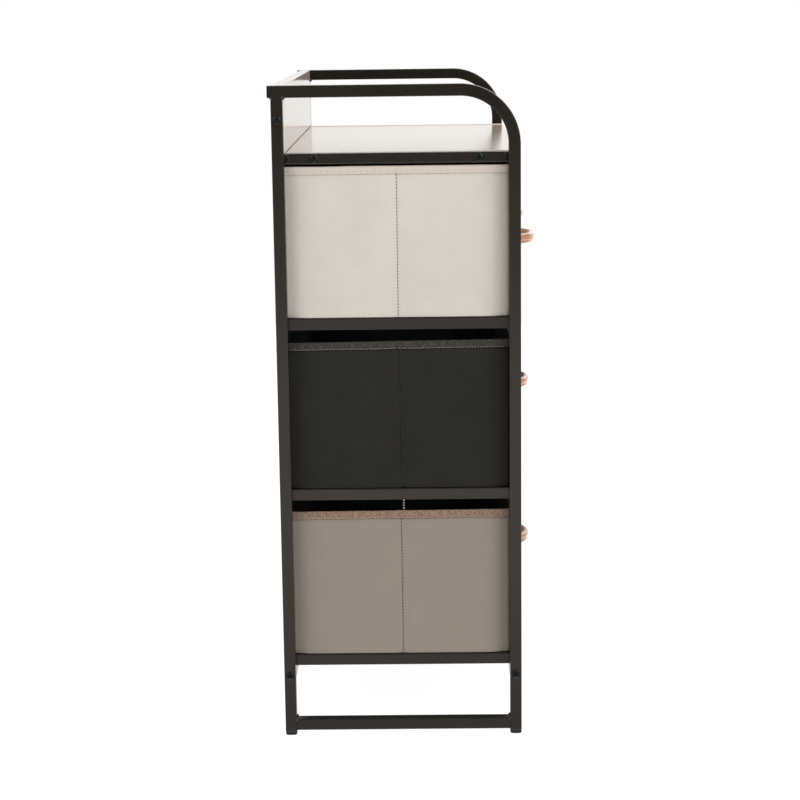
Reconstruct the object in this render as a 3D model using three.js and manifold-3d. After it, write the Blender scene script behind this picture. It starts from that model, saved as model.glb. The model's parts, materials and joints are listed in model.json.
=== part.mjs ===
// Fabric drawer dresser: two welded side frames of square steel tube, a laminate shelf with a
// back board, and sewn fabric drawers that slide on runners inside the frames.
// Millimetres, +Z up. The fronts face -Y, and left is -X. The origin is on the floor, at the
// middle of the dresser's outline seen from above.

import * as THREE from 'three';
import { mergeVertices } from 'three/addons/utils/BufferGeometryUtils.js';
import Module from 'manifold-3d';

const wasm = await Module();
wasm.setup();

// Steel frame
const frameWidth = 640;
const frameDepth = 310;
const tube = 15;
const tubeWall = 1.2;
const tubeCorner = 1.5;
const bendRadius = 75;
const topRailOverhang = 4;
const shelfRailHeight = 13;
const runnerSetback = 2;
const crossRailHeight = 82;
const runnerLift = 2;

// Feet
const footHeight = 7.5;
const footInset = 0.5;
const footCorner = 2.5;
const footStem = 12;
const footStemGap = 0.3;

// Boards
const boardThickness = 15;
const boardEdge = 0.6;
const backBoardHeight = 85;

// Middle hanger, which carries the inner edges of the two upper drawers
const hangerEndSetback = 5;
const hangerFlangeLength = 45;
const hangerFlangeThickness = 3;
const centreRunnerWidth = 40;

// Drawers
const drawerHeight = 192;
const rowGap = 15.5;
const headroom = 1.2;
const sideGap = 2.5;
const slideGap = 0.3;
const frontSetback = 2;
const rearSetback = 5;
const frontPanelThickness = 8;
const frontPanelEdge = 2.5;
const wallThickness = 3;
const floorThickness = 2;
const binCorner = 12;
const rimHeight = 12;
const rimStep = 0.8;
const baseBoardThickness = 3;
const baseBoardGap = 0.8;

// Handles
const handleWidth = 96;
const handleRise = 27;
const handleHeight = 13;
const handleTipThickness = 7.5;
const handleFootWidth = 16;
const handleEdge = 1.8;
const lowerHandleLift = 81;
const middleHandleLift = 86;
const upperHandleLift = 86;

// Fasteners, with a running clearance in every hole
const holeClearance = 0.3;
const bolt = { shank: 6, head: 11.2, dome: 3.2, rim: 1, socket: 4.6, socketDepth: 2 };
const boltGrip = 15;
const backBoltGrip = 25;
const shelfScrewGrip = 20;
const backBoltDrop = 42;
const shelfScrewInset = 51.5;
const screw = { shank: 3.5, head: 8, dome: 2.4, rim: 0.8, socket: 2.9, socketDepth: 1.4 };
const handleScrewGrip = 5;

// How finely round edges are drawn, in steps
const cornerSteps = 2;
const bendSteps = 12;
const handleSteps = 12;
const roundSteps = 12;
const overrun = 1;

// Sizes that follow from the ones above
const halfWidth = frameWidth / 2;
const halfDepth = frameDepth / 2;
const legX = halfWidth - tube / 2;
const legY = halfDepth - tube / 2;
const insideX = halfWidth - tube;
const insideY = halfDepth - tube;
const runnerX = insideX - tube / 2;
const shelfEdgeX = insideX - tube;
const rowPitch = drawerHeight + rowGap + tube;
const lowerRunnerTop = crossRailHeight + tube / 2 + runnerLift + tube;
const middleRunnerTop = lowerRunnerTop + rowPitch;
const upperRunnerTop = middleRunnerTop + rowPitch;
const shelfUnderside = upperRunnerTop + slideGap + drawerHeight + headroom;
const shelfTop = shelfUnderside + boardThickness;
const frameHeight = shelfTop + backBoardHeight;
const drawerFrontY = frontSetback - halfDepth;
const drawerRearY = halfDepth - rearSetback;
const handleScrewX = (handleWidth - handleFootWidth) / 2;

// Finishes, with the colours of the real ones
const finishes = {
  steel: { color: '#3a3531', roughness: 0.5, metalness: 0.35 },
  fastener: { color: '#2b2a28', roughness: 0.35, metalness: 0.6 },
  foot: { color: '#1d1c1b', roughness: 0.6, metalness: 0 },
  laminate: { color: '#e8e2dc', roughness: 0.35, metalness: 0 },
  handle: { color: '#cda583', roughness: 0.35, metalness: 0 },
  board: { color: '#8f8170', roughness: 0.9, metalness: 0 },
  cream: { color: '#d6d1c7', roughness: 0.9, metalness: 0 },
  creamLinen: { color: '#ccc4ba', roughness: 0.9, metalness: 0 },
  charcoal: { color: '#32312e', roughness: 0.9, metalness: 0 },
  charcoalLinen: { color: '#4b4a45', roughness: 0.9, metalness: 0 },
  taupe: { color: '#91877c', roughness: 0.9, metalness: 0 },
  brownLinen: { color: '#8b7464', roughness: 0.9, metalness: 0 },
};

// Joining and cutting of closed shapes
function toSolid(geometry) {
  const shape = geometry.clone();
  shape.deleteAttribute('normal');
  shape.deleteAttribute('uv');
  const merged = mergeVertices(shape);
  return new wasm.Manifold(new wasm.Mesh({
    numProp: 3,
    vertProperties: new Float32Array(merged.attributes.position.array),
    triVerts: new Uint32Array(merged.index.array),
  }));
}

function toGeometry(solid) {
  const mesh = solid.getMesh();
  const geometry = new THREE.BufferGeometry();
  geometry.setAttribute('position', new THREE.BufferAttribute(mesh.vertProperties, 3));
  geometry.setIndex(new THREE.BufferAttribute(mesh.triVerts, 1));
  const flat = geometry.toNonIndexed();
  flat.computeVertexNormals();
  return flat;
}

function cut(geometry, tools) {
  return toGeometry(tools.reduce((rest, tool) => rest.subtract(toSolid(tool)), toSolid(geometry)));
}

function join(geometry, others) {
  return toGeometry(others.reduce((sum, other) => sum.add(toSolid(other)), toSolid(geometry)));
}

// A shape drawn in X and Y and pushed out along Z is turned to lie along another axis
const axes = {
  x: new THREE.Matrix4().makeBasis(
    new THREE.Vector3(0, 1, 0), new THREE.Vector3(0, 0, 1), new THREE.Vector3(1, 0, 0)),
  y: new THREE.Matrix4().makeBasis(
    new THREE.Vector3(0, 0, 1), new THREE.Vector3(1, 0, 0), new THREE.Vector3(0, 1, 0)),
  z: new THREE.Matrix4(),
};

function roundedRectangle(wide, high, corner) {
  const shape = new THREE.Shape();
  const x = wide / 2 - corner;
  const y = high / 2 - corner;
  shape.absarc(x, y, corner, 0, Math.PI / 2);
  shape.absarc(-x, y, corner, Math.PI / 2, Math.PI);
  shape.absarc(-x, -y, corner, Math.PI, Math.PI * 1.5);
  shape.absarc(x, -y, corner, Math.PI * 1.5, Math.PI * 2);
  return shape;
}

// A straight bar along one axis, centred, with its long edges rounded
function bar(along, size, corner) {
  const order = { x: [size.x, size.y, size.z], y: [size.y, size.z, size.x], z: [size.z, size.x, size.y] };
  const [length, wide, high] = order[along];
  const section = roundedRectangle(wide, high, corner);
  const geometry = new THREE.ExtrudeGeometry(section, {
    depth: length, bevelEnabled: false, curveSegments: cornerSteps,
  });
  geometry.translate(0, 0, -length / 2);
  return geometry.applyMatrix4(axes[along]);
}

// A flat outline given a thickness across one axis, centred, with all its edges eased
function easedPlate(across, outline, thickness, edge, curveSteps) {
  const geometry = new THREE.ExtrudeGeometry(outline, {
    depth: thickness - 2 * edge,
    bevelThickness: edge,
    bevelSize: edge,
    bevelOffset: -edge,
    bevelSegments: cornerSteps,
    curveSegments: curveSteps,
  });
  geometry.translate(0, 0, edge - thickness / 2);
  return geometry.applyMatrix4(axes[across]);
}

function rectangle(left, right, low, high) {
  const shape = new THREE.Shape();
  shape.moveTo(left, low);
  shape.lineTo(right, low);
  shape.lineTo(right, high);
  shape.lineTo(left, high);
  shape.closePath();
  return shape;
}

// A round rod along one axis, from one station to another, used to drill holes
function drill(along, radius, from, to, at) {
  const geometry = new THREE.CylinderGeometry(radius, radius, to - from, roundSteps);
  geometry.rotateX(Math.PI / 2);
  geometry.translate(0, 0, (from + to) / 2);
  geometry.applyMatrix4(axes[along]);
  return geometry.translate(at.x, at.y, at.z);
}

// A bar bored out to a tube, open at its low end, its high end or both, else closed by an end wall
function tubeBar(along, size, openLow, openHigh) {
  const low = openLow ? -overrun : tubeWall;
  const high = openHigh ? overrun : -tubeWall;
  const bore = { x: size.x - 2 * tubeWall, y: size.y - 2 * tubeWall, z: size.z - 2 * tubeWall };
  bore[along] = size[along] + high - low;
  const cavity = new THREE.BoxGeometry(bore.x, bore.y, bore.z);
  const shift = new THREE.Vector3();
  shift[along] = (high + low) / 2;
  cavity.translate(shift.x, shift.y, shift.z);
  return cut(bar(along, size, tubeCorner), [cavity]);
}

function place(name, geometry, finish, x, y, z) {
  const mesh = new THREE.Mesh(geometry, new THREE.MeshStandardMaterial(finishes[finish]));
  mesh.name = name;
  mesh.position.set(x, y, z);
  return mesh;
}

// Button-head fastener with a hexagon socket. The seat of its head is at the origin, the head
// stands towards +Z and the shank goes down.
function fastenerGeometry(kind, reach) {
  const headRadius = kind.head / 2;
  const shankRadius = kind.shank / 2;
  const profile = [new THREE.Vector2(0, -reach), new THREE.Vector2(shankRadius, -reach)];
  profile.push(new THREE.Vector2(shankRadius, 0), new THREE.Vector2(headRadius, 0));
  const domeShares = [0, 0.35, 0.65, 0.88];
  for (const share of domeShares) {
    const turn = share * Math.PI / 2;
    const rise = (kind.dome - kind.rim) * Math.sin(turn);
    profile.push(new THREE.Vector2(headRadius * Math.cos(turn), kind.rim + rise));
  }
  profile.push(new THREE.Vector2(0, kind.dome));
  const body = new THREE.LatheGeometry(profile, roundSteps).rotateX(Math.PI / 2);
  const socketRadius = kind.socket / Math.sqrt(3);
  const socketLength = kind.socketDepth + overrun;
  const socket = new THREE.CylinderGeometry(socketRadius, socketRadius, socketLength, 6);
  socket.rotateX(Math.PI / 2);
  socket.translate(0, 0, kind.dome - kind.socketDepth + socketLength / 2);
  return cut(body, [socket]);
}

function holeRadius(kind) {
  return kind.shank / 2 + holeClearance;
}

// Front leg, bent upper corner and top rail, made from one length of tube
function hoopOutline(inset, low, railEnd) {
  const centreY = bendRadius - halfDepth;
  const centreZ = frameHeight - bendRadius;
  const outline = new THREE.Shape();
  outline.moveTo(inset - halfDepth, low);
  outline.lineTo(tube - inset - halfDepth, low);
  outline.absarc(centreY, centreZ, bendRadius - tube + inset, Math.PI, Math.PI / 2, true);
  outline.lineTo(railEnd, frameHeight - tube + inset);
  outline.lineTo(railEnd, frameHeight - inset);
  outline.absarc(centreY, centreZ, bendRadius - inset, Math.PI / 2, Math.PI, false);
  outline.closePath();
  return outline;
}

function hoopGeometry() {
  const railEnd = halfDepth + topRailOverhang;
  const blank = easedPlate('x', hoopOutline(0, footHeight, railEnd), tube, tubeCorner, bendSteps);
  const boreOutline = hoopOutline(tubeWall, footHeight - overrun, railEnd - tubeWall);
  const bore = new THREE.ExtrudeGeometry(boreOutline, {
    depth: tube - 2 * tubeWall, bevelEnabled: false, curveSegments: bendSteps,
  });
  bore.translate(0, 0, tubeWall - tube / 2);
  bore.applyMatrix4(axes.x);
  const through = tube / 2 + overrun;
  const at = new THREE.Vector3(0, -legY, crossRailHeight);
  return cut(blank, [bore, drill('x', holeRadius(bolt), -through, through, at)]);
}

// Rear leg, centred on its own height
function rearLegGeometry(length, holeHeights) {
  const through = tube / 2 + overrun;
  const drills = holeHeights.map((height) => {
    const at = new THREE.Vector3(0, 0, height - length / 2);
    return drill('x', holeRadius(bolt), -through, through, at);
  });
  return cut(tubeBar('z', new THREE.Vector3(tube, tube, length), true, true), drills);
}

// Rail under the shelf's edge, drilled for the two screws that hold the shelf
function shelfRailGeometry(screwPlaces) {
  const length = frameDepth - 2 * runnerSetback;
  const through = tube / 2 + overrun;
  const drills = screwPlaces.map((y) => {
    const at = new THREE.Vector3(0, y, 0);
    return drill('x', holeRadius(bolt), -through, through, at);
  });
  return cut(tubeBar('y', new THREE.Vector3(tube, length, shelfRailHeight), false, true), drills);
}

// Rail from side to side, with a block in each end that takes a bolt
function crossRailGeometry() {
  const boreLength = 2 * (insideX - boltGrip);
  const boreWidth = tube - 2 * tubeWall;
  const through = insideX + overrun;
  return cut(bar('x', new THREE.Vector3(2 * insideX, tube, tube), tubeCorner), [
    new THREE.BoxGeometry(boreLength, boreWidth, boreWidth),
    drill('x', holeRadius(bolt), -through, through, new THREE.Vector3()),
  ]);
}

// Plastic foot, centred on its pad's height, with a stem that plugs the leg
function footGeometry() {
  const padSize = tube - 2 * footInset;
  const pad = easedPlate('z', roundedRectangle(padSize, padSize, footCorner), footHeight,
    footInset, cornerSteps);
  const stemSize = tube - 2 * (tubeWall + footStemGap);
  const stem = new THREE.BoxGeometry(stemSize, stemSize, footStem + footInset);
  stem.translate(0, 0, (footHeight + footStem - footInset) / 2);
  return join(pad, [stem]);
}

// One welded side frame with its feet and fasteners. side is -1 for left and 1 for right.
function sideFrame(name, side) {
  const group = new THREE.Group();
  const add = (part, geometry, finish, x, y, z) => {
    group.add(place(`${name}_${part}`, geometry, finish, x, y, z));
  };
  const rearLegLength = frameHeight - tube - footHeight;
  const backBoltHeight = frameHeight - backBoltDrop;
  const holeHeights = [crossRailHeight - footHeight, backBoltHeight - footHeight];
  const screwPlaces = [shelfScrewInset - halfDepth, halfDepth - shelfScrewInset];
  const runnerLength = frameDepth - 2 * runnerSetback;
  const shelfRailZ = shelfTop - shelfRailHeight / 2;

  add('hoop', hoopGeometry(), 'steel', side * legX, 0, 0);
  add('rear_leg', rearLegGeometry(rearLegLength, holeHeights), 'steel',
    side * legX, legY, footHeight + rearLegLength / 2);
  add('shelf_rail', shelfRailGeometry(screwPlaces), 'steel', side * runnerX, 0, shelfRailZ);
  const runners = { upper: upperRunnerTop, middle: middleRunnerTop, lower: lowerRunnerTop };
  for (const [row, top] of Object.entries(runners)) {
    const runner = tubeBar('y', new THREE.Vector3(tube, runnerLength, tube), false, true);
    add(`${row}_runner`, runner, 'steel', side * runnerX, 0, top - tube / 2);
  }
  const floorRail = tubeBar('y', new THREE.Vector3(tube, 2 * insideY, tube), true, true);
  add('floor_rail', floorRail, 'steel', side * legX, 0, footHeight + tube / 2);

  for (const [end, y] of Object.entries({ front: -legY, rear: legY })) {
    add(`${end}_foot`, footGeometry(), 'foot', side * legX, y, footHeight / 2);
    const geometry = fastenerGeometry(bolt, tube + boltGrip).rotateY(side * Math.PI / 2);
    add(`${end}_bolt`, geometry, 'fastener', side * halfWidth, y, crossRailHeight);
  }
  const backBolt = fastenerGeometry(bolt, tube + backBoltGrip).rotateY(side * Math.PI / 2);
  add('back_board_bolt', backBolt, 'fastener', side * halfWidth, legY, backBoltHeight);
  for (const [end, y] of Object.entries({ front: screwPlaces[0], rear: screwPlaces[1] })) {
    const geometry = fastenerGeometry(bolt, tube + shelfScrewGrip).rotateY(side * Math.PI / 2);
    add(`${end}_shelf_screw`, geometry, 'fastener', side * insideX, y, shelfRailZ);
  }
  return group;
}

// Shelf between the side frames, drilled in its edges for the four screws
function shelfBoard() {
  const outline = rectangle(-shelfEdgeX, shelfEdgeX, -halfDepth, halfDepth);
  const board = easedPlate('z', outline, boardThickness, boardEdge, cornerSteps);
  const drills = [];
  const depth = shelfScrewGrip + overrun;
  const holeZ = (boardThickness - shelfRailHeight) / 2;
  for (const y of [shelfScrewInset - halfDepth, halfDepth - shelfScrewInset]) {
    const at = new THREE.Vector3(0, y, holeZ);
    drills.push(drill('x', holeRadius(bolt), shelfEdgeX - depth, shelfEdgeX + overrun, at));
    drills.push(drill('x', holeRadius(bolt), -shelfEdgeX - overrun, depth - shelfEdgeX, at));
  }
  return place('shelf_board', cut(board, drills), 'laminate', 0, 0, shelfTop - boardThickness / 2);
}

// Board that stands on the shelf between the rear legs
function backBoard() {
  const outline = rectangle(-backBoardHeight / 2, backBoardHeight / 2, -insideX, insideX);
  const board = easedPlate('y', outline, boardThickness, boardEdge, cornerSteps);
  const depth = backBoltGrip + overrun;
  const holeY = (boardThickness - tube) / 2;
  const at = new THREE.Vector3(0, holeY, backBoardHeight / 2 - backBoltDrop);
  const drills = [
    drill('x', holeRadius(bolt), insideX - depth, insideX + overrun, at),
    drill('x', holeRadius(bolt), -insideX - overrun, depth - insideX, at),
  ];
  const y = halfDepth - boardThickness / 2;
  return place('back_board', cut(board, drills), 'laminate', 0, y, shelfTop + backBoardHeight / 2);
}

// Post with a flange under the shelf. The flange points inwards, away from its end of the shelf.
function hangerGeometry(end) {
  const drop = shelfUnderside - upperRunnerTop;
  const outline = new THREE.Shape();
  outline.moveTo(0, 0);
  outline.lineTo(tube, 0);
  outline.lineTo(tube, drop - hangerFlangeThickness);
  outline.lineTo(hangerFlangeLength, drop - hangerFlangeThickness);
  outline.lineTo(hangerFlangeLength, drop);
  outline.lineTo(0, drop);
  outline.closePath();
  const geometry = new THREE.ExtrudeGeometry(outline, { depth: tube, bevelEnabled: false });
  geometry.translate(0, 0, -tube / 2);
  geometry.applyMatrix4(axes.x);
  return end === 'front' ? geometry : geometry.rotateZ(Math.PI);
}

function middleHanger() {
  const group = new THREE.Group();
  const endY = halfDepth - hangerEndSetback;
  const size = new THREE.Vector3(centreRunnerWidth, 2 * endY, tube);
  for (const [end, y] of Object.entries({ front: -endY, rear: endY })) {
    const post = hangerGeometry(end);
    group.add(place(`${end}_hanger`, post, 'steel', 0, y, upperRunnerTop));
  }
  const runner = tubeBar('y', size, false, true);
  group.add(place('centre_runner', runner, 'steel', 0, 0, upperRunnerTop - tube / 2));
  return group;
}

// Sewn fabric bin with stiff walls, open at the top, with a bound rim. Its floor is at z = 0.
function binGeometry(width, depth, height, screwX, screwZ) {
  const prism = (inset, low, high) => {
    const corner = Math.max(binCorner - inset, wallThickness / 2);
    const outline = roundedRectangle(width - 2 * inset, depth - 2 * inset, corner);
    const geometry = new THREE.ExtrudeGeometry(outline, {
      depth: high - low, bevelEnabled: false, curveSegments: cornerSteps * 2,
    });
    return geometry.translate(0, 0, low);
  };
  const shell = join(prism(rimStep, 0, height - rimHeight / 2), [prism(0, height - rimHeight, height)]);
  const inset = rimStep + wallThickness;
  const tools = [prism(inset, floorThickness, height + overrun)];
  for (const side of [-1, 1]) {
    const at = new THREE.Vector3(side * screwX, 0, screwZ);
    const from = -depth / 2 - overrun;
    tools.push(drill('y', holeRadius(screw), from, inset + overrun - depth / 2, at));
  }
  return cut(shell, tools);
}

// Stiff front board wrapped in fabric, centred, drilled for the handle's screws
function frontPanelGeometry(width, height, screwX, screwZ) {
  const outline = rectangle(-height / 2, height / 2, -width / 2, width / 2);
  const panel = easedPlate('y', outline, frontPanelThickness, frontPanelEdge, cornerSteps);
  const through = frontPanelThickness / 2 + overrun;
  return cut(panel, [-1, 1].map((side) => {
    const at = new THREE.Vector3(side * screwX, 0, screwZ);
    return drill('y', holeRadius(screw), -through, through, at);
  }));
}

// Arched wooden pull. Its feet stand on y = 0 and the arch reaches towards -Y.
function handleGeometry() {
  const half = handleWidth / 2;
  const radius = (half * half + handleRise * handleRise) / (2 * handleRise);
  const centre = radius - handleRise;
  const reach = Math.atan2(half, centre);
  const innerHalf = half - handleFootWidth;
  const innerRise = handleRise - handleTipThickness;
  const outline = new THREE.Shape();
  outline.absarc(0, centre, radius, reach - Math.PI / 2, -reach - Math.PI / 2, true);
  outline.absellipse(0, 0, innerHalf, innerRise, Math.PI, Math.PI * 2, false, 0);
  outline.closePath();
  const blank = easedPlate('z', outline, handleHeight, handleEdge, handleSteps);
  const depth = handleScrewGrip + holeClearance;
  return cut(blank, [-1, 1].map((side) => {
    const at = new THREE.Vector3(side * handleScrewX, 0, 0);
    return drill('y', holeRadius(screw), -depth, overrun, at);
  }));
}

// One drawer, built at rest in its place. handleLift is the handle's height over the drawer's foot.
function drawer(name, x, bottom, width, handleLift, fabric, linen) {
  const group = new THREE.Group();
  const add = (part, geometry, finish, dx, y, z) => {
    group.add(place(`${name}_${part}`, geometry, finish, x + dx, y, z));
  };
  const panelRearY = drawerFrontY + frontPanelThickness;
  const binFrontY = panelRearY + slideGap;
  const binDepth = drawerRearY - binFrontY;
  const binInset = rimStep + wallThickness;
  const wallInsideY = binFrontY + binInset;
  const screwZ = bottom + handleLift;

  const bin = binGeometry(width, binDepth, drawerHeight, handleScrewX, handleLift);
  add('bin', bin, fabric, 0, (binFrontY + drawerRearY) / 2, bottom);

  const panelScrewZ = handleLift - drawerHeight / 2;
  const panel = frontPanelGeometry(width, drawerHeight, handleScrewX, panelScrewZ);
  add('front_panel', panel, linen, 0, (drawerFrontY + panelRearY) / 2, bottom + drawerHeight / 2);

  const baseSize = new THREE.Vector3(
    width - 2 * (binInset + baseBoardGap), binDepth - 2 * (binInset + baseBoardGap), baseBoardThickness);
  const base = bar('z', baseSize, binCorner - rimStep - baseBoardGap);
  const baseZ = bottom + floorThickness + slideGap + baseBoardThickness / 2;
  add('base_board', base, 'board', 0, (binFrontY + drawerRearY) / 2, baseZ);

  add('handle', handleGeometry(), 'handle', 0, drawerFrontY, screwZ);
  const screwReach = wallInsideY - drawerFrontY + handleScrewGrip;
  for (const [end, side] of Object.entries({ left: -1, right: 1 })) {
    const geometry = fastenerGeometry(screw, screwReach).rotateX(-Math.PI / 2);
    add(`${end}_handle_screw`, geometry, 'fastener', side * handleScrewX, wallInsideY, screwZ);
  }
  return group;
}

// The whole dresser
const dresser = new THREE.Group();
dresser.position.y = (handleRise - drawerFrontY - halfDepth - topRailOverhang) / 2;

dresser.add(sideFrame('left', -1), sideFrame('right', 1));
for (const [end, y] of Object.entries({ front: -legY, rear: legY })) {
  dresser.add(place(`${end}_cross_rail`, crossRailGeometry(), 'steel', 0, y, crossRailHeight));
}
dresser.add(shelfBoard(), backBoard(), middleHanger());

const wideDrawer = 2 * (insideX - sideGap);
const halfDrawer = insideX - tube / 2 - 2 * sideGap;
const halfDrawerX = tube / 2 + sideGap + halfDrawer / 2;
const upperBottom = upperRunnerTop + slideGap;
const middleBottom = middleRunnerTop + slideGap;
const lowerBottom = lowerRunnerTop + slideGap;
dresser.add(
  drawer('upper_left', -halfDrawerX, upperBottom, halfDrawer, upperHandleLift, 'cream', 'creamLinen'),
  drawer('upper_right', halfDrawerX, upperBottom, halfDrawer, upperHandleLift, 'cream', 'creamLinen'),
  drawer('middle', 0, middleBottom, wideDrawer, middleHandleLift, 'charcoal', 'charcoalLinen'),
  drawer('lower', 0, lowerBottom, wideDrawer, lowerHandleLift, 'taupe', 'brownLinen'),
);
dresser.updateMatrixWorld(true);

export default dresser;
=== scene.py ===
"""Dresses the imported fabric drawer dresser: tube frame, laminate boards, sewn drawers, wooden pulls."""

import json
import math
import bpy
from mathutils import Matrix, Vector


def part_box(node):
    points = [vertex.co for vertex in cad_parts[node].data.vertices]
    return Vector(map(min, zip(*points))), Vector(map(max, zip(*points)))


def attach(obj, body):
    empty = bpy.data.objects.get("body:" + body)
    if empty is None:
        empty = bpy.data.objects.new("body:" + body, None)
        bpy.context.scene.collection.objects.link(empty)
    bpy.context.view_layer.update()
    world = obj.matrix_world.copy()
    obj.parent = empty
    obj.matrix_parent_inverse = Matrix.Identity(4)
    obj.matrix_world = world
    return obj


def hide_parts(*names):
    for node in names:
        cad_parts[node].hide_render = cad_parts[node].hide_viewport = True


bl_info = {
    "name": "Fabric drawer dresser",
    "version": (1, 0, 0),
    "blender": (4, 5, 0),
    "location": "3D View > Sidebar > Dresser",
    "description": "Builds the dresser's welded tube frame, laminate boards, sewn drawers and wooden pulls",
    "category": "Object",
}

import bmesh
import bpy
from mathutils import Matrix, Vector, noise

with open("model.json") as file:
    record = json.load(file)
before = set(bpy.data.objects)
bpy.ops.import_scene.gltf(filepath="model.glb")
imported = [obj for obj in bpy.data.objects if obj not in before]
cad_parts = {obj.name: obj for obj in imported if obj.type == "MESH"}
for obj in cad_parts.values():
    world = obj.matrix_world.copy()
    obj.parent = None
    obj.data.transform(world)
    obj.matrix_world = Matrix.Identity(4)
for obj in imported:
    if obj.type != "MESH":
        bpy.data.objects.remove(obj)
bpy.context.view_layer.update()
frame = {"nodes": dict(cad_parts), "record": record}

SIDES = ("left", "right")
DRAWERS = ("upper_left", "upper_right", "middle", "lower")
RUNNERS = ("upper_runner", "middle_runner", "lower_runner")
MM = 0.001

# Where the seam in each drawer's side walls runs, forward of the legs' middle, at its top and its foot
SEAMS = {"upper_left": (-0.6 * MM, -0.3 * MM), "upper_right": (-0.6 * MM, -0.3 * MM),
         "middle": (2.0 * MM, 3.9 * MM), "lower": (0.2 * MM, 0.9 * MM)}

# How far each drawer's rim stands above its middle level at the rear and at the front
RIMS = {"upper_left": (0.0, 0.0), "upper_right": (0.0, 0.0), "middle": (-1.4 * MM, 1.0 * MM),
        "lower": (-0.6 * MM, 0.8 * MM)}

# What each drawer is sewn from: its walls, its hem and front, and the threads of its side seams, of
# the stitches in the hem, of those along the hem's foot, where it has them, of those inside, and the
# tape that these hold
CREAM_DRAWER = {"wall": "cream nonwoven cloth", "hem": "cream linen weave", "seam": "dark grey thread",
                "band": "sand thread", "foot": None, "inside": "black thread", "tape": "black lining cloth"}
CLOTHS = {
    "upper_left": CREAM_DRAWER,
    "upper_right": CREAM_DRAWER,
    "middle": {"wall": "charcoal nonwoven cloth", "hem": "charcoal linen weave", "seam": "ash thread",
               "band": None, "foot": "stone thread", "inside": "black thread", "tape": "black lining cloth"},
    "lower": {"wall": "taupe nonwoven cloth", "hem": "brown linen weave", "seam": "slate thread",
              "band": None, "foot": "rose thread", "inside": "white thread", "tape": "grey twill tape"},
}


# Sizes and colours that a user would change

def length(name, description, default):
    """A length that a user may change, in metres."""
    return bpy.props.FloatProperty(
        name=name, description=description, default=default, unit="LENGTH", precision=4)


def linear(code):
    """Linear red, green and blue of an sRGB hex value."""
    parts = [int(code[start:start + 2], 16) / 255 for start in (0, 2, 4)]
    return tuple(part / 12.92 if part <= 0.04045 else ((part + 0.055) / 1.055) ** 2.4 for part in parts)


def colour(name, description, code):
    """A colour that a user may change, from its sRGB hex value."""
    return bpy.props.FloatVectorProperty(
        name=name, description=description, default=linear(code), subtype="COLOR", size=3, min=0.0, max=1.0)


class DresserSizes(bpy.types.PropertyGroup):
    tube_edge: length("Tube edge radius", "Radius of the square tube's long edges", 1.2 * MM)
    bend_radius: length("Bend radius", "Radius of the bent front corner along the tube's middle", 67.5 * MM)
    weld_size: length("Weld size", "Radius of the drops that make up a weld bead", 1.4 * MM)
    board_edge: length("Board edge radius", "Radius of the boards' eased edges", 0.4 * MM)
    board_lift: length("Back board lift", "Height of the dark gap under the back board", 0.8 * MM)
    band_rise: length("Edge band rise", "How far the shelf's edge bands stand above its top", 0.8 * MM)
    band_thick: length("Edge band thickness", "Thickness of the strips on the shelf's ends", 0.7 * MM)
    foot_round: length("Foot rounding", "Radius under the plastic feet", 2.8 * MM)
    bin_corner: length("Bin corner radius", "Radius of a drawer's upright corners", 9 * MM)
    bin_wall: length("Bin wall", "Thickness of a drawer's sewn wall with its stiffener", 3.8 * MM)
    bin_crown: length("Bin crown", "How far a drawer's side wall swells between its seams", 0.9 * MM)
    bin_tuck: length("Bin tuck", "How far a drawer's side wall draws in towards its corners", 1.2 * MM)
    hem_height: length("Hem height", "Height of the band sewn round a drawer's rim", 10.2 * MM)
    hem_step: length("Hem step", "How far the hem stands proud of the wall below it", 0.8 * MM)
    seam_depth: length("Seam depth", "Depth of the dent that a row of stitches pulls in", 0.25 * MM)
    stitch_pitch: length("Stitch pitch", "Distance from one stitch to the next", 4.2 * MM)
    stitch_length: length("Stitch length", "Length of one stitch", 2.2 * MM)
    thread_radius: length("Thread radius", "Radius of the sewing thread", 0.68 * MM)
    panel_edge: length("Front edge radius", "Radius of a drawer front's wrapped edges", 3.2 * MM)


class DresserColours(bpy.types.PropertyGroup):
    steel: colour("Powder coat", "Warm black powder on the frame", "19140F")
    fastener: colour("Fasteners", "Black oxide on the bolts and screws", "131715")
    foot: colour("Feet", "Plastic of the feet and tube plugs", "121212")
    laminate: colour("Laminate", "Pale oak print on the shelf and the back board", "B2A395")
    # The edge band's near-white is partly painted highlight along the shelf's ends
    band: colour("Edge band", "Plastic strips on the ends of the shelf", "F0EAE3")
    wood: colour("Pulls", "Lacquered beech of the pulls", "B27648")
    cream: colour("Cream cloth", "Walls of the upper drawers", "C6C0B7")
    cream_linen: colour("Cream linen weave", "Hems and fronts of the upper drawers", "C4BAB0")
    charcoal: colour("Charcoal cloth", "Walls of the middle drawer", "24231F")
    charcoal_linen: colour("Charcoal linen weave", "Hem and front of the middle drawer", "35332E")
    taupe: colour("Taupe cloth", "Walls of the lower drawer", "8A8278")
    brown_linen: colour("Brown linen weave", "Hem and front of the lower drawer", "806B5C")
    lining: colour("Lining", "Black lining inside the drawers", "2A2E2E")


# Materials from nodes

NOISE = "ShaderNodeTexNoise"
RANGE = "ShaderNodeMapRange"
MIX = "ShaderNodeMix"
BUMP = "ShaderNodeBump"
MATHS = "ShaderNodeMath"
# A Mix node's sockets for two colours and for what comes of them
LOW, HIGH, MIXED = 6, 7, 2


def set_inputs(tree, node, inputs):
    """Sets a node's inputs to values, or links them from sockets."""
    for name, value in inputs.items():
        if isinstance(value, bpy.types.NodeSocket):
            tree.links.new(value, node.inputs[name])
        else:
            node.inputs[name].default_value = value


def add_node(tree, kind, inputs=None, output=0, **settings):
    """Adds a node with its settings and its inputs, and gives one of its output sockets."""
    node = tree.nodes.new(kind)
    for name, value in settings.items():
        setattr(node, name, value)
    set_inputs(tree, node, inputs or {})
    return node.outputs[output] if node.outputs else None


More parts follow.
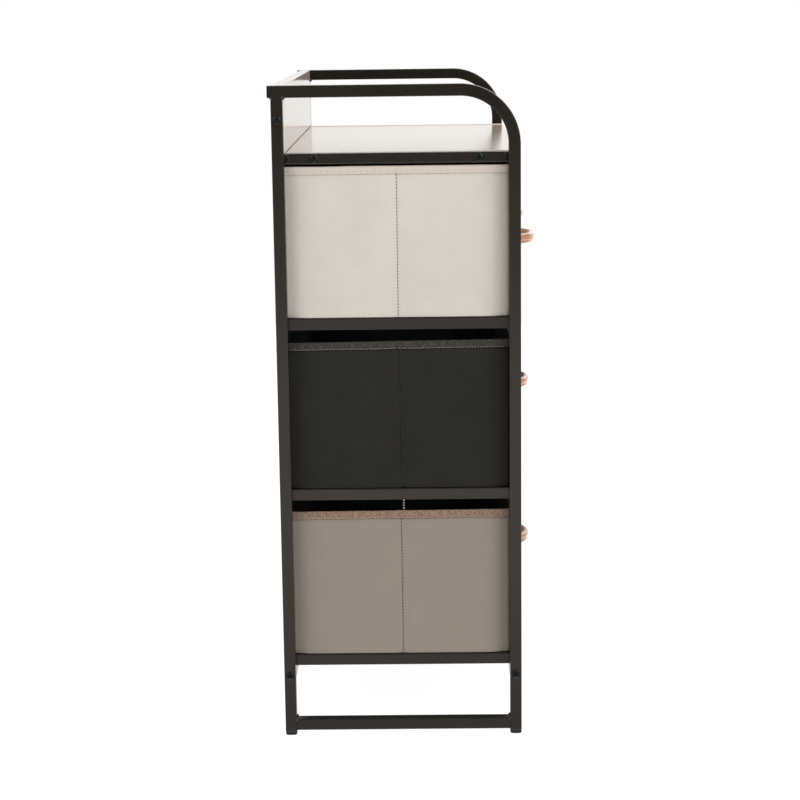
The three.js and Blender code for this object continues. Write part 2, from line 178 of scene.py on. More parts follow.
def finish(name):
    """A finish by its name, made once. Its function says what the surface shader's inputs are."""
    made = bpy.data.materials.get(name)
    if made is None:
        made = bpy.data.materials.new(name)
        made.use_nodes = True
        place = add_node(made.node_tree, "ShaderNodeTexCoord", output="Object")
        inputs = FINISHES[name](made.node_tree, place, bpy.context.scene.dresser_colours)
        set_inputs(made.node_tree, made.node_tree.nodes["Principled BSDF"], inputs)
    return made


def tone(value, factor):
    """A colour made lighter or darker."""
    return (*(min(1.0, part * factor) for part in value), 1.0)


def powder_coat(tree, place, colours):
    """Square steel tube under baked epoxy powder: an even warm black film, satin, with faint orange peel."""
    # The film's thickness drifts over a hand's width, and orange peel has waves of about 1.5 mm
    film = add_node(tree, NOISE, {"Vector": place, "Scale": 1 / (110 * MM), "Detail": 3.0})
    peel = add_node(tree, NOISE, {"Vector": place, "Scale": 1 / (1.5 * MM)})
    tones = {"Factor": film, LOW: tone(colours.steel, 0.7), HIGH: tone(colours.steel, 1.3)}
    return {
        "Base Color": add_node(tree, MIX, tones, MIXED, data_type="RGBA"),
        "Roughness": add_node(tree, RANGE, {"Value": film, "To Min": 0.18, "To Max": 0.28}),
        "Normal": add_node(tree, BUMP, {"Height": peel, "Strength": 0.1, "Distance": 0.15 * MM}),
        "Specular Tint": (1.0, 0.94, 0.87, 1.0),
        "IOR": 1.5,
    }


def black_oxide(tree, place, colours):
    """Steel bolts with a thin black skin, oiled: darker and smoother than the frame's powder."""
    # The bath leaves blotches about 3 mm wide
    blotch = add_node(tree, NOISE, {"Vector": place, "Scale": 1 / (3 * MM), "Detail": 3.0})
    tones = {"Factor": blotch, LOW: tone(colours.fastener, 0.6), HIGH: tone(colours.fastener, 1.4)}
    return {
        "Base Color": add_node(tree, MIX, tones, MIXED, data_type="RGBA"),
        "Roughness": add_node(tree, RANGE, {"Value": blotch, "To Min": 0.16, "To Max": 0.26}),
        "IOR": 1.3,
    }


def moulded_polyethylene(tree, place, colours):
    """Feet and plugs moulded in black polyethylene: dull and a little waxy, with a spark-eroded grain."""
    # The mould's grain is about 1.1 mm
    grain = add_node(tree, NOISE, {"Vector": place, "Scale": 1 / (1.1 * MM)})
    tones = {"Factor": grain, LOW: tone(colours.foot, 0.7), HIGH: tone(colours.foot, 1.4)}
    return {
        "Base Color": add_node(tree, MIX, tones, MIXED, data_type="RGBA"),
        "Normal": add_node(tree, BUMP, {"Height": grain, "Strength": 0.2, "Distance": 0.2 * MM}),
        "Roughness": 0.45,
        "Specular IOR Level": 0.3,
    }


def melamine_board(tree, place, colours):
    """Chipboard faced with printed paper in melamine resin: a pale oak print under a hard clear film,
    which mirrors what is behind it at a low angle."""
    # The print's growth rings are 5 mm apart and a hand long, with pores 0.6 mm wide and 14 mm long
    ring_scale = (1 / (170 * MM), 1 / (5 * MM), 1 / (5 * MM))
    pore_scale = (1 / (14 * MM), 1 / (0.6 * MM), 1 / (0.6 * MM))
    ring_place = add_node(tree, "ShaderNodeMapping", {"Vector": place, "Scale": ring_scale})
    pore_place = add_node(tree, "ShaderNodeMapping", {"Vector": place, "Scale": pore_scale})
    rings = add_node(tree, NOISE, {"Vector": ring_place, "Scale": 1.0, "Detail": 4.0})
    pores = add_node(tree, NOISE, {"Vector": pore_place, "Scale": 1.0})
    tones = {"Factor": rings, LOW: tone(colours.laminate, 0.97), HIGH: tone(colours.laminate, 1.03)}
    grain = add_node(tree, MIX, tones, MIXED, data_type="RGBA")
    ink = add_node(tree, RANGE, {"Value": pores, "From Min": 0.6, "From Max": 0.8, "To Max": 0.35})
    shades = {"Factor": ink, LOW: grain, HIGH: tone(colours.laminate, 0.94)}
    return {
        "Base Color": add_node(tree, MIX, shades, MIXED, data_type="RGBA"),
        "Roughness": add_node(tree, RANGE, {"Value": rings, "To Min": 0.145, "To Max": 0.17}),
        "IOR": 1.58,
    }


def edge_band(tree, place, colours):
    """Thin white plastic glued to the ends of the shelf: smooth, with a slight ripple from the roller. The
    strips are an edge band, and their white also stands in for the highlight along the shelf's ends: painted
    highlight.
    """
    # The roller leaves a ripple about 6 mm long
    ripple = add_node(tree, NOISE, {"Vector": place, "Scale": 1 / (6 * MM)})
    tones = {"Factor": ripple, LOW: tone(colours.band, 0.97), HIGH: tone(colours.band, 1.03)}
    return {
        "Base Color": add_node(tree, MIX, tones, MIXED, data_type="RGBA"),
        "Roughness": 0.35,
    }


def lacquered_beech(tree, place, colours):
    """Bent beech, sanded and dipped in clear lacquer: warm tan wood with short darker rays under a gloss."""
    # Rings follow the pull about 3.5 mm apart, and rays are 0.5 mm wide and 6 mm long
    ring_scale = (1 / (70 * MM), 1 / (3.5 * MM), 1 / (3.5 * MM))
    ray_scale = (1 / (6 * MM), 1 / (0.5 * MM), 1 / (0.5 * MM))
    ring_place = add_node(tree, "ShaderNodeMapping", {"Vector": place, "Scale": ring_scale})
    ray_place = add_node(tree, "ShaderNodeMapping", {"Vector": place, "Scale": ray_scale})
    rings = add_node(tree, NOISE, {"Vector": ring_place, "Scale": 1.0, "Detail": 4.0})
    rays = add_node(tree, NOISE, {"Vector": ray_place, "Scale": 1.0})
    tones = {"Factor": rings, LOW: tone(colours.wood, 0.65), HIGH: tone(colours.wood, 1.3)}
    body = add_node(tree, MIX, tones, MIXED, data_type="RGBA")
    cut = add_node(tree, RANGE, {"Value": rays, "From Min": 0.58, "From Max": 0.75, "To Max": 0.5})
    shades = {"Factor": cut, LOW: body, HIGH: tone(colours.wood, 0.5)}
    return {
        "Base Color": add_node(tree, MIX, shades, MIXED, data_type="RGBA"),
        "Normal": add_node(tree, BUMP, {"Height": rays, "Strength": 0.05, "Distance": 0.2 * MM}),
        "Roughness": 0.42,
        "Coat Weight": 1.0,
        "Coat Roughness": 0.05,
        "Coat IOR": 1.85,
        "Sheen Weight": 1.0,
        "Sheen Roughness": 0.22,
    }


def covered_hardboard(tree, place, colours):
    """Hardboard in a black nonwoven cover: dull black with a nap of fibres."""
    # The cover pills in clouds of 30 mm, and its fibres lie about 1.2 mm apart
    cloud = add_node(tree, NOISE, {"Vector": place, "Scale": 1 / (30 * MM), "Detail": 4.0})
    nap = add_node(tree, NOISE, {"Vector": place, "Scale": 1 / (1.2 * MM), "Detail": 3.0})
    tones = {"Factor": cloud, LOW: tone(colours.lining, 0.6), HIGH: tone(colours.lining, 2.0)}
    return {
        "Base Color": add_node(tree, MIX, tones, MIXED, data_type="RGBA"),
        "Normal": add_node(tree, BUMP, {"Height": nap, "Strength": 0.3, "Distance": 0.3 * MM}),
        "Roughness": 0.9,
    }


def nonwoven_cloth(key, mottle):
    """Spunbonded polypropylene: filaments melted together in rows of dots, dull and even, softly clouded."""
    def build(tree, place, colours):
        surface = add_node(tree, "ShaderNodeUVMap", uv_map="cloth")
        base = getattr(colours, key)
        dim, bright = tone(base, 1 - 2 * mottle), tone(base, 1 + 2 * mottle)
        # The dots are 0.9 mm apart, drawn at 1.6 mm so that they show
        dots = add_node(tree, "ShaderNodeTexVoronoi", {
            "Vector": surface, "Scale": 1 / (1.6 * MM), "Randomness": 0.15})
        # Filaments gather in clouds of 40 mm and in flecks of 1.8 mm
        cloud = add_node(tree, NOISE, {
            "Vector": place, "Scale": 1 / (40 * MM), "Detail": 5.0, "Roughness": 0.6})
        fleck = add_node(tree, NOISE, {
            "Vector": surface, "Scale": 1 / (1.8 * MM), "Detail": 3.0, "Roughness": 0.65})
        tones = {"Factor": cloud, LOW: dim, HIGH: bright}
        body = add_node(tree, MIX, tones, MIXED, data_type="RGBA")
        thin = add_node(tree, RANGE, {"Value": fleck, "From Min": 0.4, "From Max": 0.75, "To Max": 0.6})
        height = add_node(tree, MATHS, {0: dots, 1: fleck}, operation="ADD")
        shades = {"Factor": thin, LOW: body, HIGH: dim}
        return {
            "Base Color": add_node(tree, MIX, shades, MIXED, data_type="RGBA"),
            "Normal": add_node(tree, BUMP, {"Height": height, "Strength": 0.2, "Distance": 0.3 * MM}),
            "Roughness": 0.85,
            "Specular IOR Level": 0.2,
        }
    return build


def linen_weave(key, plain, light, dark, relief):
    """Polyester yarns of mixed shades in a plain weave that looks like linen: short slubs both ways. The
    colour is multiplied by one number for most yarns, one for the light ones and one for the gaps. The light
    ones are the highest yarns, so their lighter shade is partly a painted highlight, and the gaps' darkening
    is painted shade."""
    def build(tree, place, colours):
        surface = add_node(tree, "ShaderNodeUVMap", uv_map="cloth")
        base = getattr(colours, key)
        # Yarns are about 0.6 mm apart, drawn at 0.8 and 0.9 mm so that they show, with slubs of 5 mm
        warp_scale = (1 / (0.8 * MM), 1 / (5.5 * MM), 1.0)
        weft_scale = (1 / (5.0 * MM), 1 / (0.9 * MM), 1.0)
        warp_place = add_node(tree, "ShaderNodeMapping", {"Vector": surface, "Scale": warp_scale})
        weft_place = add_node(tree, "ShaderNodeMapping", {"Vector": surface, "Scale": weft_scale})
        warp = add_node(tree, NOISE, {"Vector": warp_place, "Scale": 1.0, "Roughness": 0.6})
        weft = add_node(tree, NOISE, {"Vector": weft_place, "Scale": 1.0, "Roughness": 0.6})
        over = add_node(tree, MATHS, {0: warp, 1: weft}, operation="MAXIMUM")
        under = add_node(tree, MATHS, {0: warp, 1: weft}, operation="MINIMUM")
        # The highest yarns are lighter: partly their own shade, partly a painted highlight
        lit = add_node(tree, RANGE, {"Value": over, "From Min": 0.5, "From Max": 0.7})
        tones = {"Factor": lit, LOW: tone(base, plain), HIGH: tone(base, light)}
        body = add_node(tree, MIX, tones, MIXED, data_type="RGBA")
        # Where a yarn lies low, the gap is darkened with painted shade
        sunk = add_node(tree, RANGE, {"Value": under, "From Min": 0.46, "From Max": 0.3})
        shades = {"Factor": sunk, LOW: body, HIGH: tone(base, dark)}
        return {
            "Base Color": add_node(tree, MIX, shades, MIXED, data_type="RGBA"),
            "Normal": add_node(tree, BUMP, {"Height": over, "Strength": relief, "Distance": 0.5 * MM}),
            "Roughness": 0.9,
            "Specular IOR Level": 0.2,
        }
    return build


def spun_thread(code, glow=0.0):
    """Twisted polyester sewing thread: dull, with a turn of the twist every half millimetre. A thread given a
    glow emits painted light, so that the white one still shows in the dark of a drawer."""
    def build(tree, place, colours):
        base = linear(code)
        twist = add_node(tree, NOISE, {"Vector": place, "Scale": 1 / (0.5 * MM)})
        tones = {"Factor": twist, LOW: tone(base, 0.7), HIGH: tone(base, 1.25)}
        return {
            "Base Color": add_node(tree, MIX, tones, MIXED, data_type="RGBA"),
            "Roughness": 0.7,
            # The emission is painted light: a thread is no lamp
            "Emission Color": (1.0, 0.99, 0.96, 1.0),
            "Emission Strength": glow,
        }
    return build


def twill_tape(tree, place, colours):
    """Binding tape sewn over a seam inside a drawer: close grey twill, dull."""
    # Twill ribs are about 1.2 mm apart
    grey = linear("5E5A53")
    rib = add_node(tree, NOISE, {"Vector": place, "Scale": 1 / (1.2 * MM)})
    tones = {"Factor": rib, LOW: tone(grey, 0.7), HIGH: tone(grey, 1.4)}
    return {
        "Base Color": add_node(tree, MIX, tones, MIXED, data_type="RGBA"),
        "Normal": add_node(tree, BUMP, {"Height": rib, "Strength": 0.3, "Distance": 0.2 * MM}),
        "Roughness": 0.85,
    }


FINISHES = {
    "satin powder coat": powder_coat,
    "black oxide steel": black_oxide,
    "moulded polyethylene": moulded_polyethylene,
    "melamine faced board": melamine_board,
    "edge band plastic": edge_band,
    "lacquered beech": lacquered_beech,
    "covered hardboard": covered_hardboard,
    "cream nonwoven cloth": nonwoven_cloth("cream", mottle=0.05),
    "charcoal nonwoven cloth": nonwoven_cloth("charcoal", mottle=0.16),
    "taupe nonwoven cloth": nonwoven_cloth("taupe", mottle=0.04),
    "black lining cloth": nonwoven_cloth("lining", mottle=0.2),
    # A weave's highest yarns carry a painted highlight and its gaps painted shade
    "cream linen weave": linen_weave("cream_linen", plain=0.98, light=1.03, dark=0.96, relief=0.12),
    "charcoal linen weave": linen_weave("charcoal_linen", plain=0.9, light=2.5, dark=0.35, relief=0.35),
    "brown linen weave": linen_weave("brown_linen", plain=0.9, light=1.85, dark=0.55, relief=0.35),
    "grey twill tape": twill_tape,
    "dark grey thread": spun_thread("4A4744"),
    "sand thread": spun_thread("7E6F63"),
    "ash thread": spun_thread("37362F"),
    "stone thread": spun_thread("6E6A63"),
    "slate thread": spun_thread("1F252B"),
    "rose thread": spun_thread("A68E7B"),
    "black thread": spun_thread("0D0D0D"),
    # The white thread's glow is painted light, so that it shows in the dark of a drawer
    "white thread": spun_thread("E8E4DC", glow=1.2),
}


# Meshes and pieces

# Points closer than this are one point
DOUBLES = 1e-6


def make_mesh(name, points, faces, uvs=None, marks=None):
    """A mesh from points and faces, with one UV pair a corner and one material number a face."""
    mesh = bpy.data.meshes.new(name)
    mesh.from_pydata([tuple(point) for point in points], [], faces)
    if uvs:
        layer = mesh.uv_layers.new(name="cloth")
        layer.data.foreach_set("uv", [part for pair in uvs for part in pair])
    if marks:
        mesh.polygons.foreach_set("material_index", marks)
    mesh.polygons.foreach_set("use_smooth", [True] * len(mesh.polygons))
    mesh.update()
    return mesh


def make_piece(name, mesh, finishes, body, replaced=(), slot=None):
    """A finished piece on a body, with its finishes, standing for the nodes that it replaces."""
    piece = bpy.data.objects.new(name, mesh)
    bpy.context.scene.collection.objects.link(piece)
    for one in finishes:
        mesh.materials.append(finish(one))
    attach(piece, body)
    if replaced:
        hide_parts(*replaced)
    return piece


def corners(node):
    """A node's lowest and highest corner."""
    low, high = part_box(node)
    return Vector(low), Vector(high)


def legs_middle():
    """Where the middle between a side frame's legs lies in Y."""
    return (corners("left_hoop")[0].y + corners("left_rear_leg")[1].y) / 2


def flatten_flats(mesh):
    """Faces that look straight along an axis are shaded flat, and the rounds between them smooth."""
    straight = 0.9999
    for face in mesh.polygons:
        face.use_smooth = max(abs(part) for part in face.normal) < straight


def joined(meshes, name):
    """One mesh out of several."""
    together = bmesh.new()
    for mesh in meshes:
        together.from_mesh(mesh)
    out = bpy.data.meshes.new(name)
    together.to_mesh(out)
    together.free()
    for mesh in meshes:
        bpy.data.meshes.remove(mesh)
    return out


def lofted(rings):
    """Points and faces of a closed skin through rings of equal length."""
    count = len(rings[0])
    points = [point for ring in rings for point in ring]
    faces = [tuple(reversed(range(count))), tuple(range((len(rings) - 1) * count, len(rings) * count))]
    for row in range(0, (len(rings) - 1) * count, count):
        for place in range(count):
            after = (place + 1) % count
            faces.append((row + place, row + after, row + count + after, row + count + place))
    return points, faces


def outward(mesh):
    """The same mesh with its doubles merged and its faces turned outwards."""
    work = bmesh.new()
    work.from_mesh(mesh)
    bmesh.ops.remove_doubles(work, verts=work.verts, dist=DOUBLES)
    bmesh.ops.recalc_face_normals(work, faces=work.faces)
    work.to_mesh(mesh)
    work.free()
    return mesh


def outward_kept(mesh):
    """Turns a closed skin's faces outwards if they point in, by the sign of its volume."""
    work = bmesh.new()
    work.from_mesh(mesh)
    if work.calc_volume(signed=True) < 0:
        bmesh.ops.reverse_faces(work, faces=work.faces)
    work.to_mesh(mesh)
    work.free()
    return mesh


def eased_board(name, low, high, edge):
    """A board with eased edges."""
    work = bmesh.new()
    bmesh.ops.create_cube(work, size=1.0)
    bmesh.ops.scale(work, vec=high - low, verts=work.verts)
    bmesh.ops.translate(work, vec=(low + high) / 2, verts=work.verts)
    bmesh.ops.bevel(work, geom=work.edges[:], offset=edge, segments=3, profile=0.5, affect="EDGES")
    mesh = bpy.data.meshes.new(name)
    work.to_mesh(mesh)
    work.free()
    flatten_flats(mesh)
    return mesh


# Geometry node trees for what follows a path or repeats

# A Random Value node's sockets for the ends of a range of numbers
LEAST, MOST = 2, 3
TREES = {}


def new_tree(name, sizes):
    """A geometry tree with a geometry input, named lengths, a material input and a geometry output."""
    tree = bpy.data.node_groups.new(name, "GeometryNodeTree")
    tree.interface.new_socket("Geometry", in_out="INPUT", socket_type="NodeSocketGeometry")
    for size in sizes:
        tree.interface.new_socket(size, in_out="INPUT", socket_type="NodeSocketFloat")
    tree.interface.new_socket("Material", in_out="INPUT", socket_type="NodeSocketMaterial")
    tree.interface.new_socket("Geometry", in_out="OUTPUT", socket_type="NodeSocketGeometry")
    return tree, tree.nodes.new("NodeGroupInput").outputs


def end_tree(tree, geometry, given):
    """Instances are made real and take the material before they leave the tree."""
    real = add_node(tree, "GeometryNodeRealizeInstances", {"Geometry": geometry})
    smooth = add_node(tree, "GeometryNodeSetShadeSmooth", {"Geometry": real})
    painted = add_node(tree, "GeometryNodeSetMaterial", {"Geometry": smooth, "Material": given["Material"]})
    add_node(tree, "NodeGroupOutput", {"Geometry": painted})
    return tree


def square_tube_tree():
    """A rounded square section swept along a path whose corners are bent."""
    bend_steps, edge_steps = 28, 5
    tree, given = new_tree("square tube along a path", ("Width", "Height", "Edge radius", "Bend radius"))
    path = add_node(tree, "GeometryNodeMeshToCurve", {"Mesh": given["Geometry"]})
    bent = add_node(tree, "GeometryNodeFilletCurve", {
        "Curve": path, "Radius": given["Bend radius"], "Count": bend_steps}, mode="POLY")
    section = add_node(tree, "GeometryNodeCurvePrimitiveQuadrilateral", {
        "Width": given["Width"], "Height": given["Height"]})
    eased = add_node(tree, "GeometryNodeFilletCurve", {
        "Curve": section, "Radius": given["Edge radius"], "Count": edge_steps}, mode="POLY")
    swept = add_node(tree, "GeometryNodeCurveToMesh", {
        "Curve": bent, "Profile Curve": eased, "Fill Caps": True})
    return end_tree(tree, swept, given)


def stitch_tree():
    """Short lengths of thread laid end to end along paths."""
    tree, given = new_tree("stitches along a path", ("Pitch", "Length", "Radius"))
    path = add_node(tree, "GeometryNodeMeshToCurve", {"Mesh": given["Geometry"]})
    spaced = add_node(tree, "GeometryNodeResampleCurve", {
        "Curve": path, "Length": given["Pitch"]}, mode="LENGTH")
    one = add_node(tree, "GeometryNodeMeshUVSphere", {"Segments": 6, "Rings": 5, "Radius": 1.0})
    tangent = add_node(tree, "GeometryNodeInputTangent")
    turned = add_node(tree, "FunctionNodeAlignRotationToVector", {"Vector": tangent}, axis="Z")
    half = add_node(tree, MATHS, {0: given["Length"], 1: 0.5}, operation="MULTIPLY")
    size = add_node(tree, "ShaderNodeCombineXYZ", {"X": given["Radius"], "Y": given["Radius"], "Z": half})
    laid = add_node(tree, "GeometryNodeInstanceOnPoints", {
        "Points": spaced, "Instance": one, "Rotation": turned, "Scale": size})
    return end_tree(tree, laid, given)


def weld_tree():
    """A weld bead: overlapping drops of metal along a path, each a little different."""
    tree, given = new_tree("weld bead along a path", ("Spacing", "Radius"))
    path = add_node(tree, "GeometryNodeMeshToCurve", {"Mesh": given["Geometry"]})
    spaced = add_node(tree, "GeometryNodeResampleCurve", {
        "Curve": path, "Length": given["Spacing"]}, mode="LENGTH")
    drop = add_node(tree, "GeometryNodeMeshIcoSphere", {"Radius": 1.0, "Subdivisions": 3})
    spread = {LEAST: 0.85, MOST: 1.1, "Seed": 11}
    share = add_node(tree, "FunctionNodeRandomValue", spread, 1, data_type="FLOAT")
    sized = add_node(tree, MATHS, {0: share, 1: given["Radius"]}, operation="MULTIPLY")
    laid = add_node(tree, "GeometryNodeInstanceOnPoints", {
        "Points": spaced, "Instance": drop, "Scale": sized})
    return end_tree(tree, laid, given)


def fastener_tree(template):
    """A fastener on every point, facing the way that the point says, each turned a little."""
    tree, given = new_tree("fasteners on points", ("Size",))
    head = add_node(tree, "GeometryNodeObjectInfo", {"As Instance": True, "Object": template}, "Geometry")
    facing = add_node(tree, "GeometryNodeInputNamedAttribute", {"Name": "facing"}, data_type="FLOAT_VECTOR")
    aimed = add_node(tree, "FunctionNodeAlignRotationToVector", {"Vector": facing}, axis="Z")
    # A hexagon looks the same after a sixth of a turn, which is 1.05 radians
    spread = {LEAST: 0.0, MOST: 1.05, "Seed": 3}
    spin = add_node(tree, "FunctionNodeRandomValue", spread, 1, data_type="FLOAT")
    about = add_node(tree, "FunctionNodeAxisAngleToRotation", {"Axis": (0.0, 0.0, 1.0), "Angle": spin})
    turned = add_node(tree, "FunctionNodeRotateRotation", {0: aimed, 1: about}, rotation_space="LOCAL")
    laid = add_node(tree, "GeometryNodeInstanceOnPoints", {
        "Points": given["Geometry"], "Instance": head, "Rotation": turned, "Scale": given["Size"]})
    return end_tree(tree, laid, given)


def grown(name, source, tree, values, material):
    """The plain mesh that a tree makes of a source mesh, with the values of its named inputs."""
    holder = bpy.data.objects.new(name, source)
    bpy.context.scene.collection.objects.link(holder)
    modifier = holder.modifiers.new(name, "NODES")
    modifier.node_group = tree
    sockets = {item.name: item.identifier for item in tree.interface.items_tree if item.in_out == "INPUT"}
    for key, value in values.items():
        modifier[sockets[key]] = value
    modifier[sockets["Material"]] = finish(material)
    seen = holder.evaluated_get(bpy.context.evaluated_depsgraph_get())
    mesh = bpy.data.meshes.new_from_object(seen)
    bpy.data.objects.remove(holder)
    bpy.data.meshes.remove(source)
    mesh.name = name
    return mesh


def path_mesh(paths):
    """Poly lines as loose edges, one run for each path."""
    points, edges = [], []
    for path in paths:
        start = len(points)
        points += [tuple(point) for point in path]
        edges += [(place, place + 1) for place in range(start, len(points) - 1)]
    mesh = bpy.data.meshes.new("path")
    mesh.from_pydata(points, edges, [])
    return mesh


def tree_named(build):
    """The tree that a function builds, built once."""
    if build not in TREES:
        TREES[build] = build()
    return TREES[build]


def stitched(name, paths, thread, body, slot, pitch=None, long=None, thick=1.0):
    """Rows of stitches along paths, with a thread that can be thicker than the seams' one."""
    sizes = bpy.context.scene.dresser_sizes
    values = {"Pitch": pitch or sizes.stitch_pitch, "Length": long or sizes.stitch_length,
              "Radius": sizes.thread_radius * thick}
    mesh = grown(name, path_mesh(paths), tree_named(stitch_tree), values, thread)
    return make_piece(name, mesh, (), body, slot=slot)


# Steel frame

def tube_piece(node, path, wide, high, bend=0.0):
    """One tube of the frame along a path."""
    sizes = bpy.context.scene.dresser_sizes
    values = {"Width": wide, "Height": high, "Edge radius": sizes.tube_edge, "Bend radius": bend}
    mesh = grown(f"{node}_tube", path_mesh([path]), tree_named(square_tube_tree), values, "satin powder coat")
    flatten_flats(mesh)
    return make_piece(f"{node}_tube", mesh, (), "frame", (node,), "frame")


def straight_tube(node):
    """A straight tube along its node's longest side."""
    low, high = corners(node)
    size = high - low
    along = max(range(3), key=lambda axis: size[axis])
    start, end = (low + high) / 2, (low + high) / 2
    start[along], end[along] = low[along], high[along]
    across = {0: (size.y, size.z), 1: (size.x, size.z), 2: (size.x, size.y)}
    return tube_piece(node, [start, end], *across[along])


def strap_mesh(node):
    """The bent strap of a node, with its edges eased."""
    work = bmesh.new()
    work.from_mesh(frame["nodes"][node].data)
    bmesh.ops.remove_doubles(work, verts=work.verts, dist=DOUBLES)
    # Triangles of one plane are joined, and then the edges are eased by 0.8 mm
    bmesh.ops.dissolve_limit(work, angle_limit=0.01, verts=work.verts, edges=work.edges)
    bmesh.ops.bevel(work, geom=work.edges[:], offset=0.8 * MM, segments=2, profile=0.5, affect="EDGES")
    mesh = bpy.data.meshes.new(f"{node}_strap")
    work.to_mesh(mesh)
    work.free()
    flatten_flats(mesh)
    return mesh


class DRESSER_OT_frame(bpy.types.Operator):
    """Make the tubes of the two side frames, the cross rails and the middle hanger"""
    bl_idname = "dresser.make_frame"
    bl_label = "Steel frame"

    def execute(self, context):
        for side in SIDES:
            low, high = corners(f"{side}_hoop")
            tube = high.x - low.x
            middle = (low.x + high.x) / 2
            path = [
                Vector((middle, low.y + tube / 2, low.z)),
                Vector((middle, low.y + tube / 2, high.z - tube / 2)),
                Vector((middle, high.y, high.z - tube / 2)),
            ]
            tube_piece(f"{side}_hoop", path, tube, tube, context.scene.dresser_sizes.bend_radius)
            for rail in ("rear_leg", "shelf_rail", *RUNNERS, "floor_rail"):
                straight_tube(f"{side}_{rail}")
        for node in ("front_cross_rail", "rear_cross_rail", "centre_runner"):
            straight_tube(node)
        for node in ("front_hanger", "rear_hanger"):
            make_piece(f"{node}_strap", strap_mesh(node), ("satin powder coat",), "frame", (node,), "frame")
        return {"FINISHED"}


class DRESSER_OT_welds(bpy.types.Operator):
    """Make the weld beads where the rails meet the legs"""
    bl_idname = "dresser.make_welds"
    bl_label = "Weld beads"

    # Fillets on the rails are fatter than a seam's bead, and drops lie three fifths of a radius apart
    fillet_share = 1.9
    drop_share = 0.6

    def execute(self, context):
        size = context.scene.dresser_sizes.weld_size
        seams, fillets = [], []
        for side, sign in (("left", -1), ("right", 1)):
            leg_low, leg_high = corners(f"{side}_rear_leg")
            inner = leg_high.x if sign < 0 else leg_low.x
            front_face = corners(f"{side}_hoop")[0].y + leg_high.y - leg_low.y
            rear_face = leg_low.y
            across = (leg_low.x + size, leg_high.x - size)
            seams += self.crescents(side, inner, front_face, rear_face)
            for runner in RUNNERS:
                low, high = corners(f"{side}_{runner}")
                for start, end in ((low.y, front_face), (rear_face, high.y)):
                    seams.append([Vector((inner, start + size, low.z)), Vector((inner, end - size, low.z))])
            low, high = corners(f"{side}_floor_rail")
            for y in (front_face, rear_face):
                fillets.append([Vector((x, y, high.z)) for x in across])
            fillets.append([Vector((x, rear_face, leg_high.z)) for x in across])
            seams.append([Vector((x, leg_high.y, leg_high.z)) for x in across])
        beads = []
        for name, paths, radius in (("seam", seams, size), ("fillet", fillets, self.fillet_share * size)):
            values = {"Spacing": radius * self.drop_share, "Radius": radius}
            beads.append(grown(name, path_mesh(paths), tree_named(weld_tree), values, "satin powder coat"))
        make_piece("weld_beads", joined(beads, "weld_beads"), ("satin powder coat",), "frame", slot="frame")
        return {"FINISHED"}

    def crescents(self, side, inner, front_face, rear_face):
        """Arcs of weld on the outer face at both ends of the shelf rail, each bulging along the rail."""
        low, high = corners(f"{side}_shelf_rail")
        bulge, inset, steps = 4.5 * MM, 1.0 * MM, 8
        arcs = []
        for face, towards in ((front_face, 1), (rear_face, -1)):
            arc = []
            for step in range(steps + 1):
                turn = math.pi * step / steps
                y = face + towards * bulge * math.sin(turn)
                z = (low.z + high.z) / 2 + ((high.z - low.z) / 2 - inset) * math.cos(turn)
                arc.append(Vector((inner, y, z)))
            arcs.append(arc)
        return arcs


# Fasteners and feet

def hexagon_reach(angle, flat):
    """Distance from a hexagon's middle to its edge, for its half width across flats."""
    sector = math.pi / 3
    return flat / math.cos((angle % sector) - sector / 2)


def button_head(name, head, dome, rim, flat, depth, shank, reach, steps):
    """A button-head screw with a hexagon socket, its seat at zero and its head towards +Z. Its head and
    its shank have a radius, its dome and its rim a height, its socket half a width and a depth."""
    def circle(radius, z):
        return [Vector((radius * math.cos(turn), radius * math.sin(turn), z)) for turn in turns]

    def hexagon(scale, z):
        return [Vector((hexagon_reach(turn, flat) * scale * math.cos(turn),
                        hexagon_reach(turn, flat) * scale * math.sin(turn), z)) for turn in turns]

    turns = [2 * math.pi * place / steps for place in range(steps)]
    chamfer, wall = 0.45 * MM, 0.98
    rings = [circle(shank, -reach), circle(shank, 0), circle(head - chamfer, 0), circle(head, chamfer)]
    for share in (0.0, 0.15, 0.3, 0.45, 0.6, 0.72, 0.82):
        angle = share * math.pi / 2
        rings.append(circle(head * math.cos(angle), rim + (dome - rim) * math.sin(angle)))
    # The socket's mouth is chamfered in two steps
    rings += [hexagon(1.18, dome), hexagon(1.05, dome - 0.1 * MM), hexagon(wall, dome - 0.5 * MM),
              hexagon(wall, dome - depth)]
    points, faces = lofted(rings)
    return outward(make_mesh(name, points, faces))


